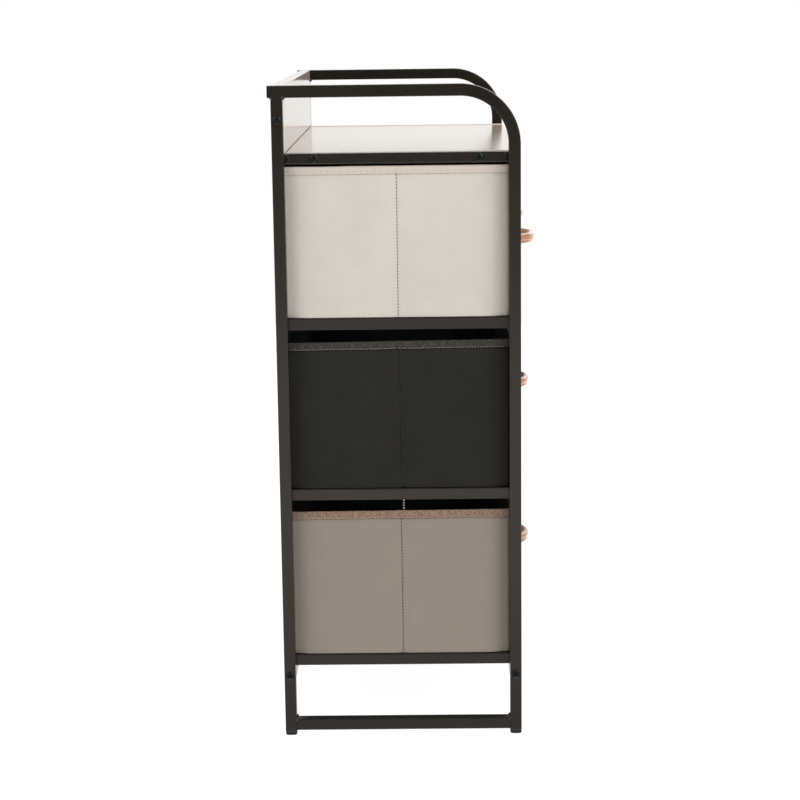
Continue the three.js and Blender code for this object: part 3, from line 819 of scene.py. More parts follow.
class DRESSER_OT_fasteners(bpy.types.Operator):
    """Make the button-head bolts of the frame and the screws of the pulls"""
    bl_idname = "dresser.make_fasteners"
    bl_label = "Bolts and screws"

    kinds = {
        "bolt": {"head": 5.7 * MM, "dome": 3.2 * MM, "rim": 1.1 * MM, "flat": 2.3 * MM, "depth": 2.0 * MM,
                 "shank": 3.0 * MM, "reach": 10 * MM, "steps": 48},
        "screw": {"head": 4.0 * MM, "dome": 2.4 * MM, "rim": 0.8 * MM, "flat": 1.45 * MM, "depth": 1.4 * MM,
                  "shank": 1.7 * MM, "reach": 3 * MM, "steps": 24},
    }

    def execute(self, context):
        for kind, sizes in self.kinds.items():
            template = bpy.data.objects.new(f"{kind}_template", button_head(kind, **sizes))
            context.scene.collection.objects.link(template)
            tree = fastener_tree(template)
            for body, nodes in self.groups(kind).items():
                name = f"{body}_{kind}_heads"
                seats = self.seats(kind, nodes, sizes["dome"])
                mesh = grown(name, seats, tree, {"Size": 1.0}, "black oxide steel")
                make_piece(name, mesh, (), body, nodes, "fasteners")
            bpy.data.objects.remove(template)
        return {"FINISHED"}

    def groups(self, kind):
        """The nodes of one kind of fastener on each body."""
        if kind == "bolt":
            names = ("front_bolt", "rear_bolt", "back_board_bolt", "front_shelf_screw", "rear_shelf_screw")
            return {"frame": [f"{side}_{name}" for side in SIDES for name in names]}
        return {f"{drawer}_drawer": [f"{drawer}_{side}_handle_screw" for side in SIDES] for drawer in DRAWERS}

    def seats(self, kind, nodes, dome):
        """A point under each fastener's head, with the way that the head faces."""
        points, facing = [], []
        for node in nodes:
            low, high = corners(node)
            middle = (low + high) / 2
            if kind == "bolt":
                sign = -1 if node.startswith("left") else 1
                face = low.x + dome if sign < 0 else high.x - dome
                points.append((face, middle.y, middle.z))
                facing.append((sign, 0, 0))
            else:
                points.append((middle.x, high.y - dome, middle.z))
                facing.append((0, 1, 0))
        mesh = bpy.data.meshes.new("seats")
        mesh.from_pydata(points, [], [])
        layer = mesh.attributes.new("facing", "FLOAT_VECTOR", "POINT")
        layer.data.foreach_set("vector", [part for one in facing for part in one])
        return mesh


def squared_ring(middle, half, z, power=6.0, steps=48):
    """A ring round a square with round corners, which are sharper for a higher power."""
    ring = []
    for place in range(steps):
        turn = 2 * math.pi * place / steps
        c, s = math.cos(turn), math.sin(turn)
        reach = (abs(c) ** power + abs(s) ** power) ** (-1 / power)
        ring.append(Vector((middle.x + half * reach * c, middle.y + half * reach * s, z)))
    return ring


class DRESSER_OT_feet(bpy.types.Operator):
    """Make the moulded feet and the plugs in the open tube ends"""
    bl_idname = "dresser.make_feet"
    bl_label = "Feet and plugs"

    # A plug is smaller than its tube all round, reaches into it and stands out of it, and has eased edges
    plug_gap, plug_depth, plug_proud, plug_edge = 0.7 * MM, 1.0 * MM, 0.5 * MM, 0.45 * MM
    # How far a foot stands out from its node on every side
    foot_proud = 0.5 * MM

    def execute(self, context):
        for side in SIDES:
            for end in ("front", "rear"):
                node = f"{side}_{end}_foot"
                mesh = self.foot(f"{node}_moulding", *corners(node), context.scene.dresser_sizes.foot_round)
                make_piece(f"{node}_moulding", mesh, ("moulded polyethylene",), "frame", (node,), "feet")
        plugs = []
        shrink = Vector((self.plug_gap, 0, self.plug_gap))
        for low, high in self.tube_ends():
            inner = Vector((low.x, high.y - self.plug_depth, low.z)) + shrink
            outer = Vector((high.x, high.y + self.plug_proud, high.z)) - shrink
            plugs.append(eased_board("plug", inner, outer, self.plug_edge))
        make_piece("tube_end_plugs", joined(plugs, "tube_end_plugs"), ("moulded polyethylene",), "frame",
                   slot="feet")
        return {"FINISHED"}

    def foot(self, name, low, high, rounding):
        """A foot with a round sole and a thin collar under the leg's end."""
        leg_end = corners("left_rear_leg")[0].z
        middle = (low + high) / 2
        half = (high.x - low.x) / 2 + self.foot_proud
        rings = []
        for share in (0.0, 0.2, 0.4, 0.6, 0.8, 1.0):
            angle = share * math.pi / 2
            inset = rounding * (1 - math.sin(angle))
            rings.append(squared_ring(middle, half - inset, low.z + rounding * (1 - math.cos(angle))))
        # The collar's rings, by how far each lies under the leg's end and stands out, in millimetres
        for drop, proud in ((0.9, 0.0), (0.6, 0.3), (0.1, 0.3)):
            rings.append(squared_ring(middle, half + proud * MM, leg_end - drop * MM))
        return outward(make_mesh(name, *lofted(rings)))

    def tube_ends(self):
        """The boxes of the tubes whose rear ends are open."""
        ends = [corners("centre_runner")]
        for side in SIDES:
            for rail in ("shelf_rail", *RUNNERS):
                ends.append(corners(f"{side}_{rail}"))
            low, high = corners(f"{side}_hoop")
            ends.append((Vector((low.x, low.y, high.z - (high.x - low.x))), high))
        return ends


class DRESSER_OT_boards(bpy.types.Operator):
    """Make the shelf and the back board"""
    bl_idname = "dresser.make_boards"
    bl_label = "Shelf and back board"

    # A band stops short of the shelf's corners and of its underside, and has eased edges
    band_inset, band_foot, band_edge = 1.0 * MM, 0.2 * MM, 0.15 * MM

    def execute(self, context):
        sizes = context.scene.dresser_sizes
        for node in ("shelf_board", "back_board"):
            low, high = corners(node)
            if node == "back_board":
                low.z += sizes.board_lift
            else:
                strips = [self.strip(low, high, x, sizes) for x in (low.x, high.x - sizes.band_thick)]
                make_piece("shelf_edge_bands", joined(strips, "shelf_edge_bands"), ("edge band plastic",),
                           "frame", slot="laminate")
            mesh = eased_board(f"{node}_laminate", low, high, sizes.board_edge)
            make_piece(f"{node}_laminate", mesh, ("melamine faced board",), "frame", (node,), "laminate")
        return {"FINISHED"}

    def strip(self, low, high, x, sizes):
        """A strip of edge band on one end of the shelf, whose upper edge stands a little proud."""
        start = Vector((x, low.y + self.band_inset, low.z + self.band_foot))
        end = Vector((x + sizes.band_thick, high.y - self.band_inset, high.z + sizes.band_rise))
        return eased_board("edge_band", start, end, self.band_edge)


# Sewn drawers

# How far from a fine place the closer stations lie, in millimetres, and the least gap between stations
FINE_REACHES = (0, 0.5, 1.0, 1.6, 2.4, 3.4, 4.6, 5.8, 7.0)
LEAST_GAP = 0.35 * MM


def stations(low, high, step, fine=()):
    """Places from low to high about a step apart, with closer ones round each fine place."""
    count = max(2, round((high - low) / step))
    places = {round(low + (high - low) * share / count, 6) for share in range(count + 1)}
    for middle in fine:
        for reach in FINE_REACHES:
            for sign in (-1, 1):
                place = middle + sign * reach * MM
                if low < place < high:
                    places.add(round(place, 6))
    kept = []
    for place in sorted(places):
        if not kept or place - kept[-1] > LEAST_GAP:
            kept.append(place)
    kept[-1] = high
    return kept


def soft_noise(place, size, seed):
    """Smooth noise between about -1 and 1, whose waves have a size in metres."""
    return noise.noise(Vector(place) / size + Vector((seed * 7.3, seed * 3.1, seed * 1.7)))


def smooth_step(value):
    """A step from 0 to 1 with smooth ends, for a value that goes from 0 to 1."""
    value = max(0.0, min(1.0, value))
    return value * value * (3 - 2 * value)


def hump(apart, width):
    """A smooth hump 1 high in the middle, and about a third as high a width away from it."""
    return math.exp(-(apart / width) ** 2)


class SewnBin:
    """The walls, hem, floor and lining of one drawer, built as a closed skin."""

    # Rounds of the sole and the rim, the floor's thickness, and how far the lining lies inside the hem
    sole_round, rim_round, floor_thick, lining_gap = 1.0 * MM, 1.9 * MM, 2.4 * MM, 0.3 * MM
    # How far behind the legs' middle the seam inside the drawer runs
    inner_offset = 4.1 * MM
    # Shares of a wall over which it draws in towards a corner, swells, and is pressed out at its foot
    tuck_share, swell_share, foot_share = 0.06, 0.09, 0.07
    # The wall doesn't swell this near the seam
    calm_width = 26 * MM
    # Depth of the valley that the seam lies in, on the middle drawer and on the others, and its width
    deep_valley, shallow_valley, valley_width = 1.6 * MM, 1.1 * MM, 5.5 * MM
    # Width of the groove that the stitches pull in
    groove_width = 0.9 * MM
    # The folded allowance in front of the stitches: its height, where it has risen and where it fades
    fold_height, fold_rise, fold_end, fold_fade = 0.25 * MM, 1.0 * MM, 4.2 * MM, 1.4 * MM
    # The middle drawer's crease and ridge: depth or height, distance behind the stitches, and width
    crease, ridge = (1.0 * MM, 2.0 * MM, 0.8 * MM), (0.7 * MM, 4.4 * MM, 1.7 * MM)
    # How far the floor board presses a wall's foot out
    foot_press = 1.8 * MM
    # Puckers beside the top of the seam: height, reach to either side, wave length and how drawn out
    pucker_height, pucker_reach, pucker_wave, pucker_draw = 0.45 * MM, 34 * MM, 30 * MM, 3.0
    # The cloth's broad and fine waves: height, length, and what is added to the drawer's seed
    waves = ((0.42 * MM, 55 * MM, 0), (0.16 * MM, 19 * MM, 4))
    # The hem and the stitches on it lie flatter than the wall below
    hem_share = 0.6
    corner_steps = 9

    def __init__(self, drawer):
        self.sizes = bpy.context.scene.dresser_sizes
        self.drawer = drawer
        self.low, self.high = corners(f"{drawer}_bin")
        self.seed = DRAWERS.index(drawer) + 1
        self.seam_ends = [legs_middle() - offset for offset in SEAMS[drawer]]
        self.seam = sum(self.seam_ends) / 2
        self.inner_seam = legs_middle() + self.inner_offset
        self.wall_inset = self.sizes.hem_step
        self.hem_foot = self.high.z - self.sizes.hem_height
        self.linen = not drawer.startswith("upper")

    def seam_at(self, z):
        """Where the side walls' seam runs in Y at a height."""
        rise = (z - self.low.z) / (self.high.z - self.low.z)
        return self.seam_ends[1] + (self.seam_ends[0] - self.seam_ends[1]) * rise

    def outline(self):
        """Rows of (x, y, outward x, outward y, wall, place along the wall)."""
        corner = self.sizes.bin_corner
        low, high = self.low, self.high
        rows = []
        sides = (
            ("left", (low.x, high.y - corner), (low.x, low.y + corner), (-1, 0), self.seam),
            ("front", (low.x + corner, low.y), (high.x - corner, low.y), (0, -1), None),
            ("right", (high.x, low.y + corner), (high.x, high.y - corner), (1, 0), self.seam),
            ("rear", (high.x - corner, high.y), (low.x + corner, high.y), (0, 1), None),
        )
        for wall, start, end, out, seam in sides:
            run = math.dist(start, end)
            fine = () if seam is None else (abs(seam - start[1]),)
            step = 4 * MM if wall in SIDES else 8 * MM
            for place in stations(0.0, run, step, fine):
                share = place / run
                rows.append((start[0] + (end[0] - start[0]) * share, start[1] + (end[1] - start[1]) * share,
                             out[0], out[1], wall, share))
            turn_middle = (end[0] - out[0] * corner, end[1] - out[1] * corner)
            first = math.atan2(out[1], out[0])
            for turn in range(1, self.corner_steps):
                angle = first + math.pi / 2 * turn / self.corner_steps
                c, s = math.cos(angle), math.sin(angle)
                rows.append((turn_middle[0] + corner * c, turn_middle[1] + corner * s, c, s, "corner", 0.0))
        return rows

    def swell(self, wall, x, y, z, share):
        """How far the cloth stands off the stiffener at a place on a wall."""
        sizes = self.sizes
        rise = (z - self.low.z) / (self.high.z - self.low.z)
        edge = min(share, 1 - share)
        if wall == "corner":
            out = -sizes.bin_tuck
        elif wall in SIDES:
            out = self.side_swell(y, z, rise, edge)
        else:
            out = sizes.bin_crown * math.sin(math.pi * share) ** 0.5 * math.sin(math.pi * rise) ** 0.5
            out -= sizes.bin_tuck * (1 - smooth_step(edge / self.tuck_share))
        ease = smooth_step(rise / 0.06) * smooth_step((1 - rise) / 0.05)
        for height, wave, seed in self.waves:
            out += height * soft_noise((x, y, z), wave, self.seed + seed) * ease
        return out

    def side_swell(self, y, z, rise, edge):
        """How far the cloth of a side wall stands off, without its waves."""
        sizes = self.sizes
        apart = self.seam_at(z) - y
        swelled = smooth_step(edge / self.swell_share)
        calm = smooth_step(abs(apart) / self.calm_width)
        out = sizes.bin_crown * calm * swelled * math.sin(math.pi * min(1.0, rise * 1.04)) ** 0.5
        out -= sizes.bin_tuck * (1 - smooth_step(edge / self.tuck_share))
        # The seam lies in a broad shallow valley, with the folded allowance as a low step in front of it
        valley = self.deep_valley if self.drawer == "middle" else self.shallow_valley
        out -= valley * hump(apart, self.valley_width)
        out -= sizes.seam_depth * hump(apart, self.groove_width)
        fold = 1 - smooth_step((apart - self.fold_end) / self.fold_fade)
        out += self.fold_height * smooth_step(apart / self.fold_rise) * fold
        # The folded edge of the middle drawer's rear half shows as a crease behind the stitches
        if self.drawer == "middle":
            depth, behind, width = self.crease
            out -= depth * hump(apart + behind, width)
            height, behind, width = self.ridge
            out += height * hump(apart + behind, width)
        # The floor board presses the wall's foot out over the runner
        out += self.foot_press * (1 - smooth_step(rise / self.foot_share)) * swelled
        # Slanting puckers run down from the top of the seam and are gone below the middle of the wall
        drop = self.high.z - z
        near = hump(apart, self.pucker_reach) * smooth_step((rise - 0.45) / 0.5)
        slant = ((abs(apart) + drop) * self.pucker_draw, apart - drop, 0.0)
        return out + self.pucker_height * near * soft_noise(slant, self.pucker_wave, self.seed + 6)

    def drift(self, x, y, z):
        """How far the hem's foot wanders up or down from a level line, fading above and below it."""
        # The linen hems wander more, and 10 mm away from the hem's foot nothing of it is left
        reach = 1 - smooth_step((abs(z - self.hem_foot) - 1.5 * MM) / (9 * MM))
        wander = 0.5 * MM if self.linen else 0.35 * MM
        rear, front = RIMS[self.drawer]
        share = (self.high.y - y) / (self.high.y - self.low.y)
        # The rim's tilt starts 60 mm under the hem's foot
        raised = (rear + (front - rear) * share) * smooth_step((z - self.hem_foot) / (60 * MM) + 1)
        return raised + reach * wander * (soft_noise((x, y, 0.0), 30 * MM, self.seed + 12) - 0.2)

    def levels(self):
        """Heights of the outer skin with their inset and the part of the bin that they belong to."""
        sizes, low, high, foot = self.sizes, self.low, self.high, self.hem_foot
        sole, top = self.sole_round, self.rim_round
        rows = []
        for share in (0.0, 0.33, 0.67):
            angle = share * math.pi / 2
            rows.append((low.z + sole * (1 - math.cos(angle)),
                         self.wall_inset + sole * (1 - math.sin(angle)), "wall"))
        for z in stations(low.z + sole, foot - 0.9 * MM, 6 * MM):
            rows.append((z, self.wall_inset, "wall"))
        # The stitches along the hem's foot pull the wall in to a narrow groove
        rows.append((foot - 0.6 * MM, self.wall_inset + 0.5 * MM, "wall"))
        rows.append((foot, self.wall_inset + 0.7 * MM, "wall"))
        rows.append((foot + 0.05 * MM, 0.2 * MM, "hem"))
        rows.append((foot + 0.5 * MM, 0.0, "hem"))
        for share in (0.25, 0.5, 0.75):
            rows.append((foot + sizes.hem_height * share, 0.0, "hem"))
        for share in (0.0, 0.33, 0.67, 1.0):
            angle = share * math.pi / 2
            rows.append((high.z - top + top * math.sin(angle), top * (1 - math.cos(angle)), "hem"))
        for share in (0.5, 1.0):
            angle = share * math.pi / 2
            rows.append((high.z - top + top * math.cos(angle), top + top * math.sin(angle), "hem"))
        # The hem is turned over the rim, and the lining starts under its inner edge
        rows.append((high.z - sizes.hem_height * 0.9, sizes.bin_wall, "hem"))
        floor, inner = low.z + self.floor_thick, sizes.bin_wall + self.lining_gap
        rows.append((high.z - sizes.hem_height * 0.95, inner, "lining"))
        for share in (0.75, 0.5, 0.25, 0.08, 0.0):
            rows.append((floor + (high.z - sizes.hem_height - floor) * share, inner, "lining"))
        return rows

    def point(self, place, level):
        """A point of the skin, for a place on the outline and a level."""
        x, y, out_x, out_y, wall, share = place
        z, inset, part = level
        if part == "lining":
            # The lining has waves of its own, and only its top follows the hem
            out = 0.3 * MM * soft_noise((x, y, z), 40 * MM, self.seed + 2) - 0.2 * MM
            lift = self.drift(x, y, z) if z > self.hem_foot - 30 * MM else 0.0
        else:
            out = self.swell(wall, x, y, z, share) if inset < 2 * MM else 0.0
            lift = self.drift(x, y, z)
            if part == "hem":
                out *= self.hem_share
                sag = 0.5 * MM * soft_noise((x, y, 0.0), 45 * MM, self.seed + 9)
                lift += min(0.0, sag * smooth_step((z - self.hem_foot) / self.sizes.hem_height))
        return Vector((x + out_x * (out - inset), y + out_y * (out - inset), z + lift))

    def mesh(self):
        """The closed skin, with its places along the cloth as UV and its parts as material numbers."""
        outline, levels = self.outline(), self.levels()
        count = len(outline)
        run = [0.0]
        for place in range(1, count + 1):
            run.append(run[-1] + math.dist(outline[place % count][:2], outline[place - 1][:2]))
        climbed = [0.0]
        for row in range(1, len(levels)):
            climbed.append(climbed[-1] + math.dist(levels[row][:2], levels[row - 1][:2]))
        points = [self.point(place, level) for level in levels for place in outline]
        numbers = {"wall": 0, "hem": 1, "lining": 2}
        faces, uvs, marks = [], [], []
        for row in range(len(levels) - 1):
            below, above = row * count, (row + 1) * count
            for place in range(count):
                after = (place + 1) % count
                faces.append((below + place, below + after, above + after, above + place))
                uvs += [(run[place], climbed[row]), (run[place + 1], climbed[row]),
                        (run[place + 1], climbed[row + 1]), (run[place], climbed[row + 1])]
                marks.append(numbers[levels[row + 1][2]])
        for ring in (reversed(range(count)), range(len(points) - count, len(points))):
            faces.append(tuple(ring))
            uvs += [(points[index].x, points[index].y) for index in faces[-1]]
            marks.append(numbers["lining"])
        return make_mesh(f"{self.drawer}_sewn_bin", points, faces, uvs, marks)

    def side_point(self, sign, y, z, proud):
        """A place on the cloth of a side wall."""
        wall = "left" if sign < 0 else "right"
        face = self.low.x if sign < 0 else self.high.x
        corner = self.sizes.bin_corner
        share = (y - self.low.y - corner) / (self.high.y - self.low.y - 2 * corner)
        on_hem = z > self.hem_foot
        out = self.swell(wall, face, y, z, share) * (self.hem_share if on_hem else 1.0)
        inset = 0.0 if on_hem else self.wall_inset
        return Vector((face + sign * (out - inset + proud), y, z + self.drift(face, y, z)))


class DRESSER_OT_bins(bpy.types.Operator):
    """Make the sewn bins of the drawers with their hems, seams and stitches"""
    bl_idname = "dresser.make_bins"
    bl_label = "Sewn bins"

    # Pitch and length of the stitches, and their thickness as a share of the thread's
    inner_stitch = (4.1 * MM, 1.4 * MM, 1.1)
    band_stitch = (8.3 * MM, 1.1 * MM, 0.8)
    foot_stitch = (3.8 * MM, 2.9 * MM, 1.0)
    # How far a row of stitches keeps from the walls' ends, and how far apart its path's points are
    row_inset, row_step = 13 * MM, 6 * MM
    # A tape's face and the stitches on it stand this far inside the wall
    tape_thick, stitch_lift = 1.3 * MM, 1.7 * MM

    def execute(self, context):
        for drawer in DRAWERS:
            body, threads, sewn = f"{drawer}_drawer", CLOTHS[drawer], SewnBin(drawer)
            slot = slot_of(f"{drawer}_bin")
            cloths = (threads["wall"], threads["hem"], "black lining cloth")
            skin = outward_kept(sewn.mesh())
            make_piece(f"{drawer}_sewn_bin", skin, cloths, body, (f"{drawer}_bin",), slot)
            seams, band, foot, inside = self.paths(sewn)
            stitched(f"{drawer}_seam_stitches", seams, threads["seam"], body, slot)
            stitched(f"{drawer}_inner_stitches", inside, threads["inside"], body, slot, *self.inner_stitch)
            if threads["band"]:
                stitched(f"{drawer}_hem_stitches", band, threads["band"], body, slot, *self.band_stitch)
            if threads["foot"]:
                stitched(f"{drawer}_hem_stitches", foot, threads["foot"], body, slot, *self.foot_stitch)
            make_piece(f"{drawer}_seam_tapes", self.tapes(sewn), (threads["tape"],), body, slot=slot)
        return {"FINISHED"}

    def paths(self, sewn):
        """The rows of stitches of both side walls: seams, in the hem, along its foot, and inside."""
        sizes = sewn.sizes
        seams, band, foot, inside = [], [], [], []
        heights = stations(sewn.low.z + 4 * MM, sewn.hem_foot - 1.5 * MM, self.row_step)
        along = stations(sewn.low.y + self.row_inset, sewn.high.y - self.row_inset, self.row_step)
        band_z, foot_z = sewn.hem_foot + sizes.hem_height * 0.35, sewn.hem_foot + 1.0 * MM
        for sign in (-1, 1):
            seams.append([sewn.side_point(sign, sewn.seam_at(z), z, 0.25 * MM) for z in heights])
            band.append([sewn.side_point(sign, y, band_z, -0.1 * MM) for y in along])
            foot.append([sewn.side_point(sign, y, foot_z, 0.0) for y in along])
            x = self.inner_face(sewn, sign) - sign * self.stitch_lift
            inside.append([Vector((x, sewn.inner_seam - 0.6 * MM, z)) for z in heights])
        return seams, band, foot, inside

    def inner_face(self, sewn, sign):
        """Where the inside of a side wall lies in X."""
        return sewn.low.x + sewn.sizes.bin_wall if sign < 0 else sewn.high.x - sewn.sizes.bin_wall

    def tapes(self, sewn):
        """Flat tapes over the inside of the side walls' seams."""
        parts = []
        for sign in (-1, 1):
            face = self.inner_face(sewn, sign)
            top = face - sign * self.tape_thick
            low = Vector((min(face, top), sewn.inner_seam - 0.5 * MM, sewn.low.z + 6 * MM))
            high = Vector((max(face, top), sewn.inner_seam + 3.0 * MM, sewn.hem_foot - 4 * MM))
            parts.append(eased_board("tape", low, high, 0.2 * MM))
        return joined(parts, f"{sewn.drawer}_seam_tapes")


def slot_of(node):
    """The record's material slot of a node."""
    return next(part["material_slot"] for part in frame["record"]["subparts"] if part["node"] == node)


def padded_slab(name, low, high, edge, crown, seed, step=6 * MM):
    """A board wrapped in cloth: round edges, and a front face that swells a little between them."""
    middle, half = (low + high) / 2, (high - low) / 2
    # The swelling fades out over this distance from the edges, and has waves this high
    fade, wave = 20 * MM, 0.14 * MM

    def places(reach):
        flat = stations(-reach + edge, reach - edge, step)
        turned = [edge * (1 - math.cos(share * math.pi / 2)) for share in (0.0, 0.35, 0.65)]
        return [-reach + inset for inset in turned] + flat + [reach - inset for inset in reversed(turned)]

    across, upward = places(half.x), places(half.z)
    wide, tall = len(across), len(upward)
    points, faces, uvs = [], [], []

    def skin(sign):
        start = len(points)
        for z in upward:
            for x in across:
                over_x = max(0.0, abs(x) - (half.x - edge))
                over_z = max(0.0, abs(z) - (half.z - edge))
                reach = math.hypot(over_x, over_z)
                pull = max(0.0, 1 - edge / reach) if reach > 0 else 0.0
                depth = half.y - edge + math.sqrt(max(0.0, edge * edge - min(reach, edge) ** 2))
                inner = smooth_step((half.x - abs(x)) / fade) * smooth_step((half.z - abs(z)) / fade)
                if sign < 0:
                    depth += crown * inner - crown * 0.8
                    depth += wave * soft_noise((x, 0.0, z), 50 * MM, seed) * inner
                points.append(middle + Vector((x - math.copysign(over_x * pull, x), sign * depth,
                                               z - math.copysign(over_z * pull, z))))
        for row in range(tall - 1):
            for place in range(wide - 1):
                first = start + row * wide + place
                ring = [first, first + 1, first + wide + 1, first + wide]
                faces.append(tuple(ring if sign < 0 else reversed(ring)))
        return start

    front, rear = skin(-1), skin(1)
    rim = list(range(wide))
    rim += [row * wide + wide - 1 for row in range(1, tall)]
    rim += [(tall - 1) * wide + place for place in range(wide - 2, -1, -1)]
    rim += [row * wide for row in range(tall - 2, 0, -1)]
    for place, index in enumerate(rim):
        after = rim[(place + 1) % len(rim)]
        faces.append((front + index, rear + index, rear + after, front + after))
    for face in faces:
        for index in face:
            uvs.append((points[index].x, points[index].z + points[index].y))
    return outward_kept(make_mesh(name, points, faces, uvs))


class DRESSER_OT_fronts(bpy.types.Operator):
    """Make the wrapped drawer fronts with their edge stitches, and the covered base boards"""
    bl_idname = "dresser.make_fronts"
    bl_label = "Drawer fronts and bases"

    # The front's swelling, the stitches' distance from its edges and how deep they lie in its cloth
    crown, inset, sunk = 0.8 * MM, 7 * MM, 0.45 * MM
    base_edge = 0.9 * MM

    def execute(self, context):
        edge = context.scene.dresser_sizes.panel_edge
        for seed, drawer in enumerate(DRAWERS):
            body, threads, node = f"{drawer}_drawer", CLOTHS[drawer], f"{drawer}_front_panel"
            low, high = corners(node)
            mesh = padded_slab(f"{drawer}_wrapped_front", low, high, edge, self.crown, seed)
            make_piece(f"{drawer}_wrapped_front", mesh, (threads["hem"],), body, (node,), slot_of(node))
            inset, y = self.inset, low.y + self.sunk
            left, right, foot, top = low.x + inset, high.x - inset, low.z + inset, high.z - inset
            path = [Vector((left, y, foot)), Vector((right, y, foot)), Vector((right, y, top)),
                    Vector((left, y, top)), Vector((left, y, foot + 2 * MM))]
            stitched(f"{drawer}_front_stitches", [path], threads["seam"], body, slot_of(node))
            node = f"{drawer}_base_board"
            mesh = eased_board(f"{drawer}_covered_base", *corners(node), self.base_edge)
            make_piece(f"{drawer}_covered_base", mesh, ("covered hardboard",), body, (node,), slot_of(node))
        return {"FINISHED"}


class DRESSER_OT_handles(bpy.types.Operator):
    """Make the arched wooden pulls"""
    bl_idname = "dresser.make_handles"
    bl_label = "Wooden pulls"

    def execute(self, context):
        for drawer in DRAWERS:
            node, name = f"{drawer}_handle", f"{drawer}_wooden_pull"
            mesh = self.arch(name, *corners(node))
            make_piece(name, mesh, ("lacquered beech",), f"{drawer}_drawer", (node,), "handle_wood")
        return {"FINISHED"}

    def arch(self, name, low, high, steps=72, around=28):
        """An arch whose section is a rounded rectangle between an outer arc and an inner oval."""
        half, rise, tall = (high.x - low.x) / 2, high.y - low.y, high.z - low.z
        middle_x, middle_z, seat = (low.x + high.x) / 2, (low.z + high.z) / 2, high.y
        # Widths of the wood at the feet and at the tip, and how square its section is each way
        foot, tip = 16 * MM, 7.5 * MM
        power_out, power_up = 2.5, 2.8
        radius = (half * half + rise * rise) / (2 * rise)
        reach = math.atan2(half, radius - rise)
        rings = []
        for place in range(steps + 1):
            share = 2 * place / steps - 1
            outer_turn = share * reach
            outer = Vector((radius * math.sin(outer_turn), 0, radius - rise - radius * math.cos(outer_turn)))
            inner_turn = share * math.pi / 2
            inner = Vector(((half - foot) * math.sin(inner_turn), 0, -(rise - tip) * math.cos(inner_turn)))
            core, out = (outer + inner) / 2, (outer - inner) / 2
            ring = []
            for step in range(around):
                turn = 2 * math.pi * step / around
                c, s = math.cos(turn), math.sin(turn)
                flat = core + out * math.copysign(abs(c) ** (2 / power_out), c)
                lift = tall / 2 * math.copysign(abs(s) ** (2 / power_up), s)
                ring.append(Vector((middle_x + flat.x, seat + min(0.0, flat.z), middle_z + lift)))
            rings.append(ring)
        return outward(make_mesh(name, *lofted(rings)))


# Stage

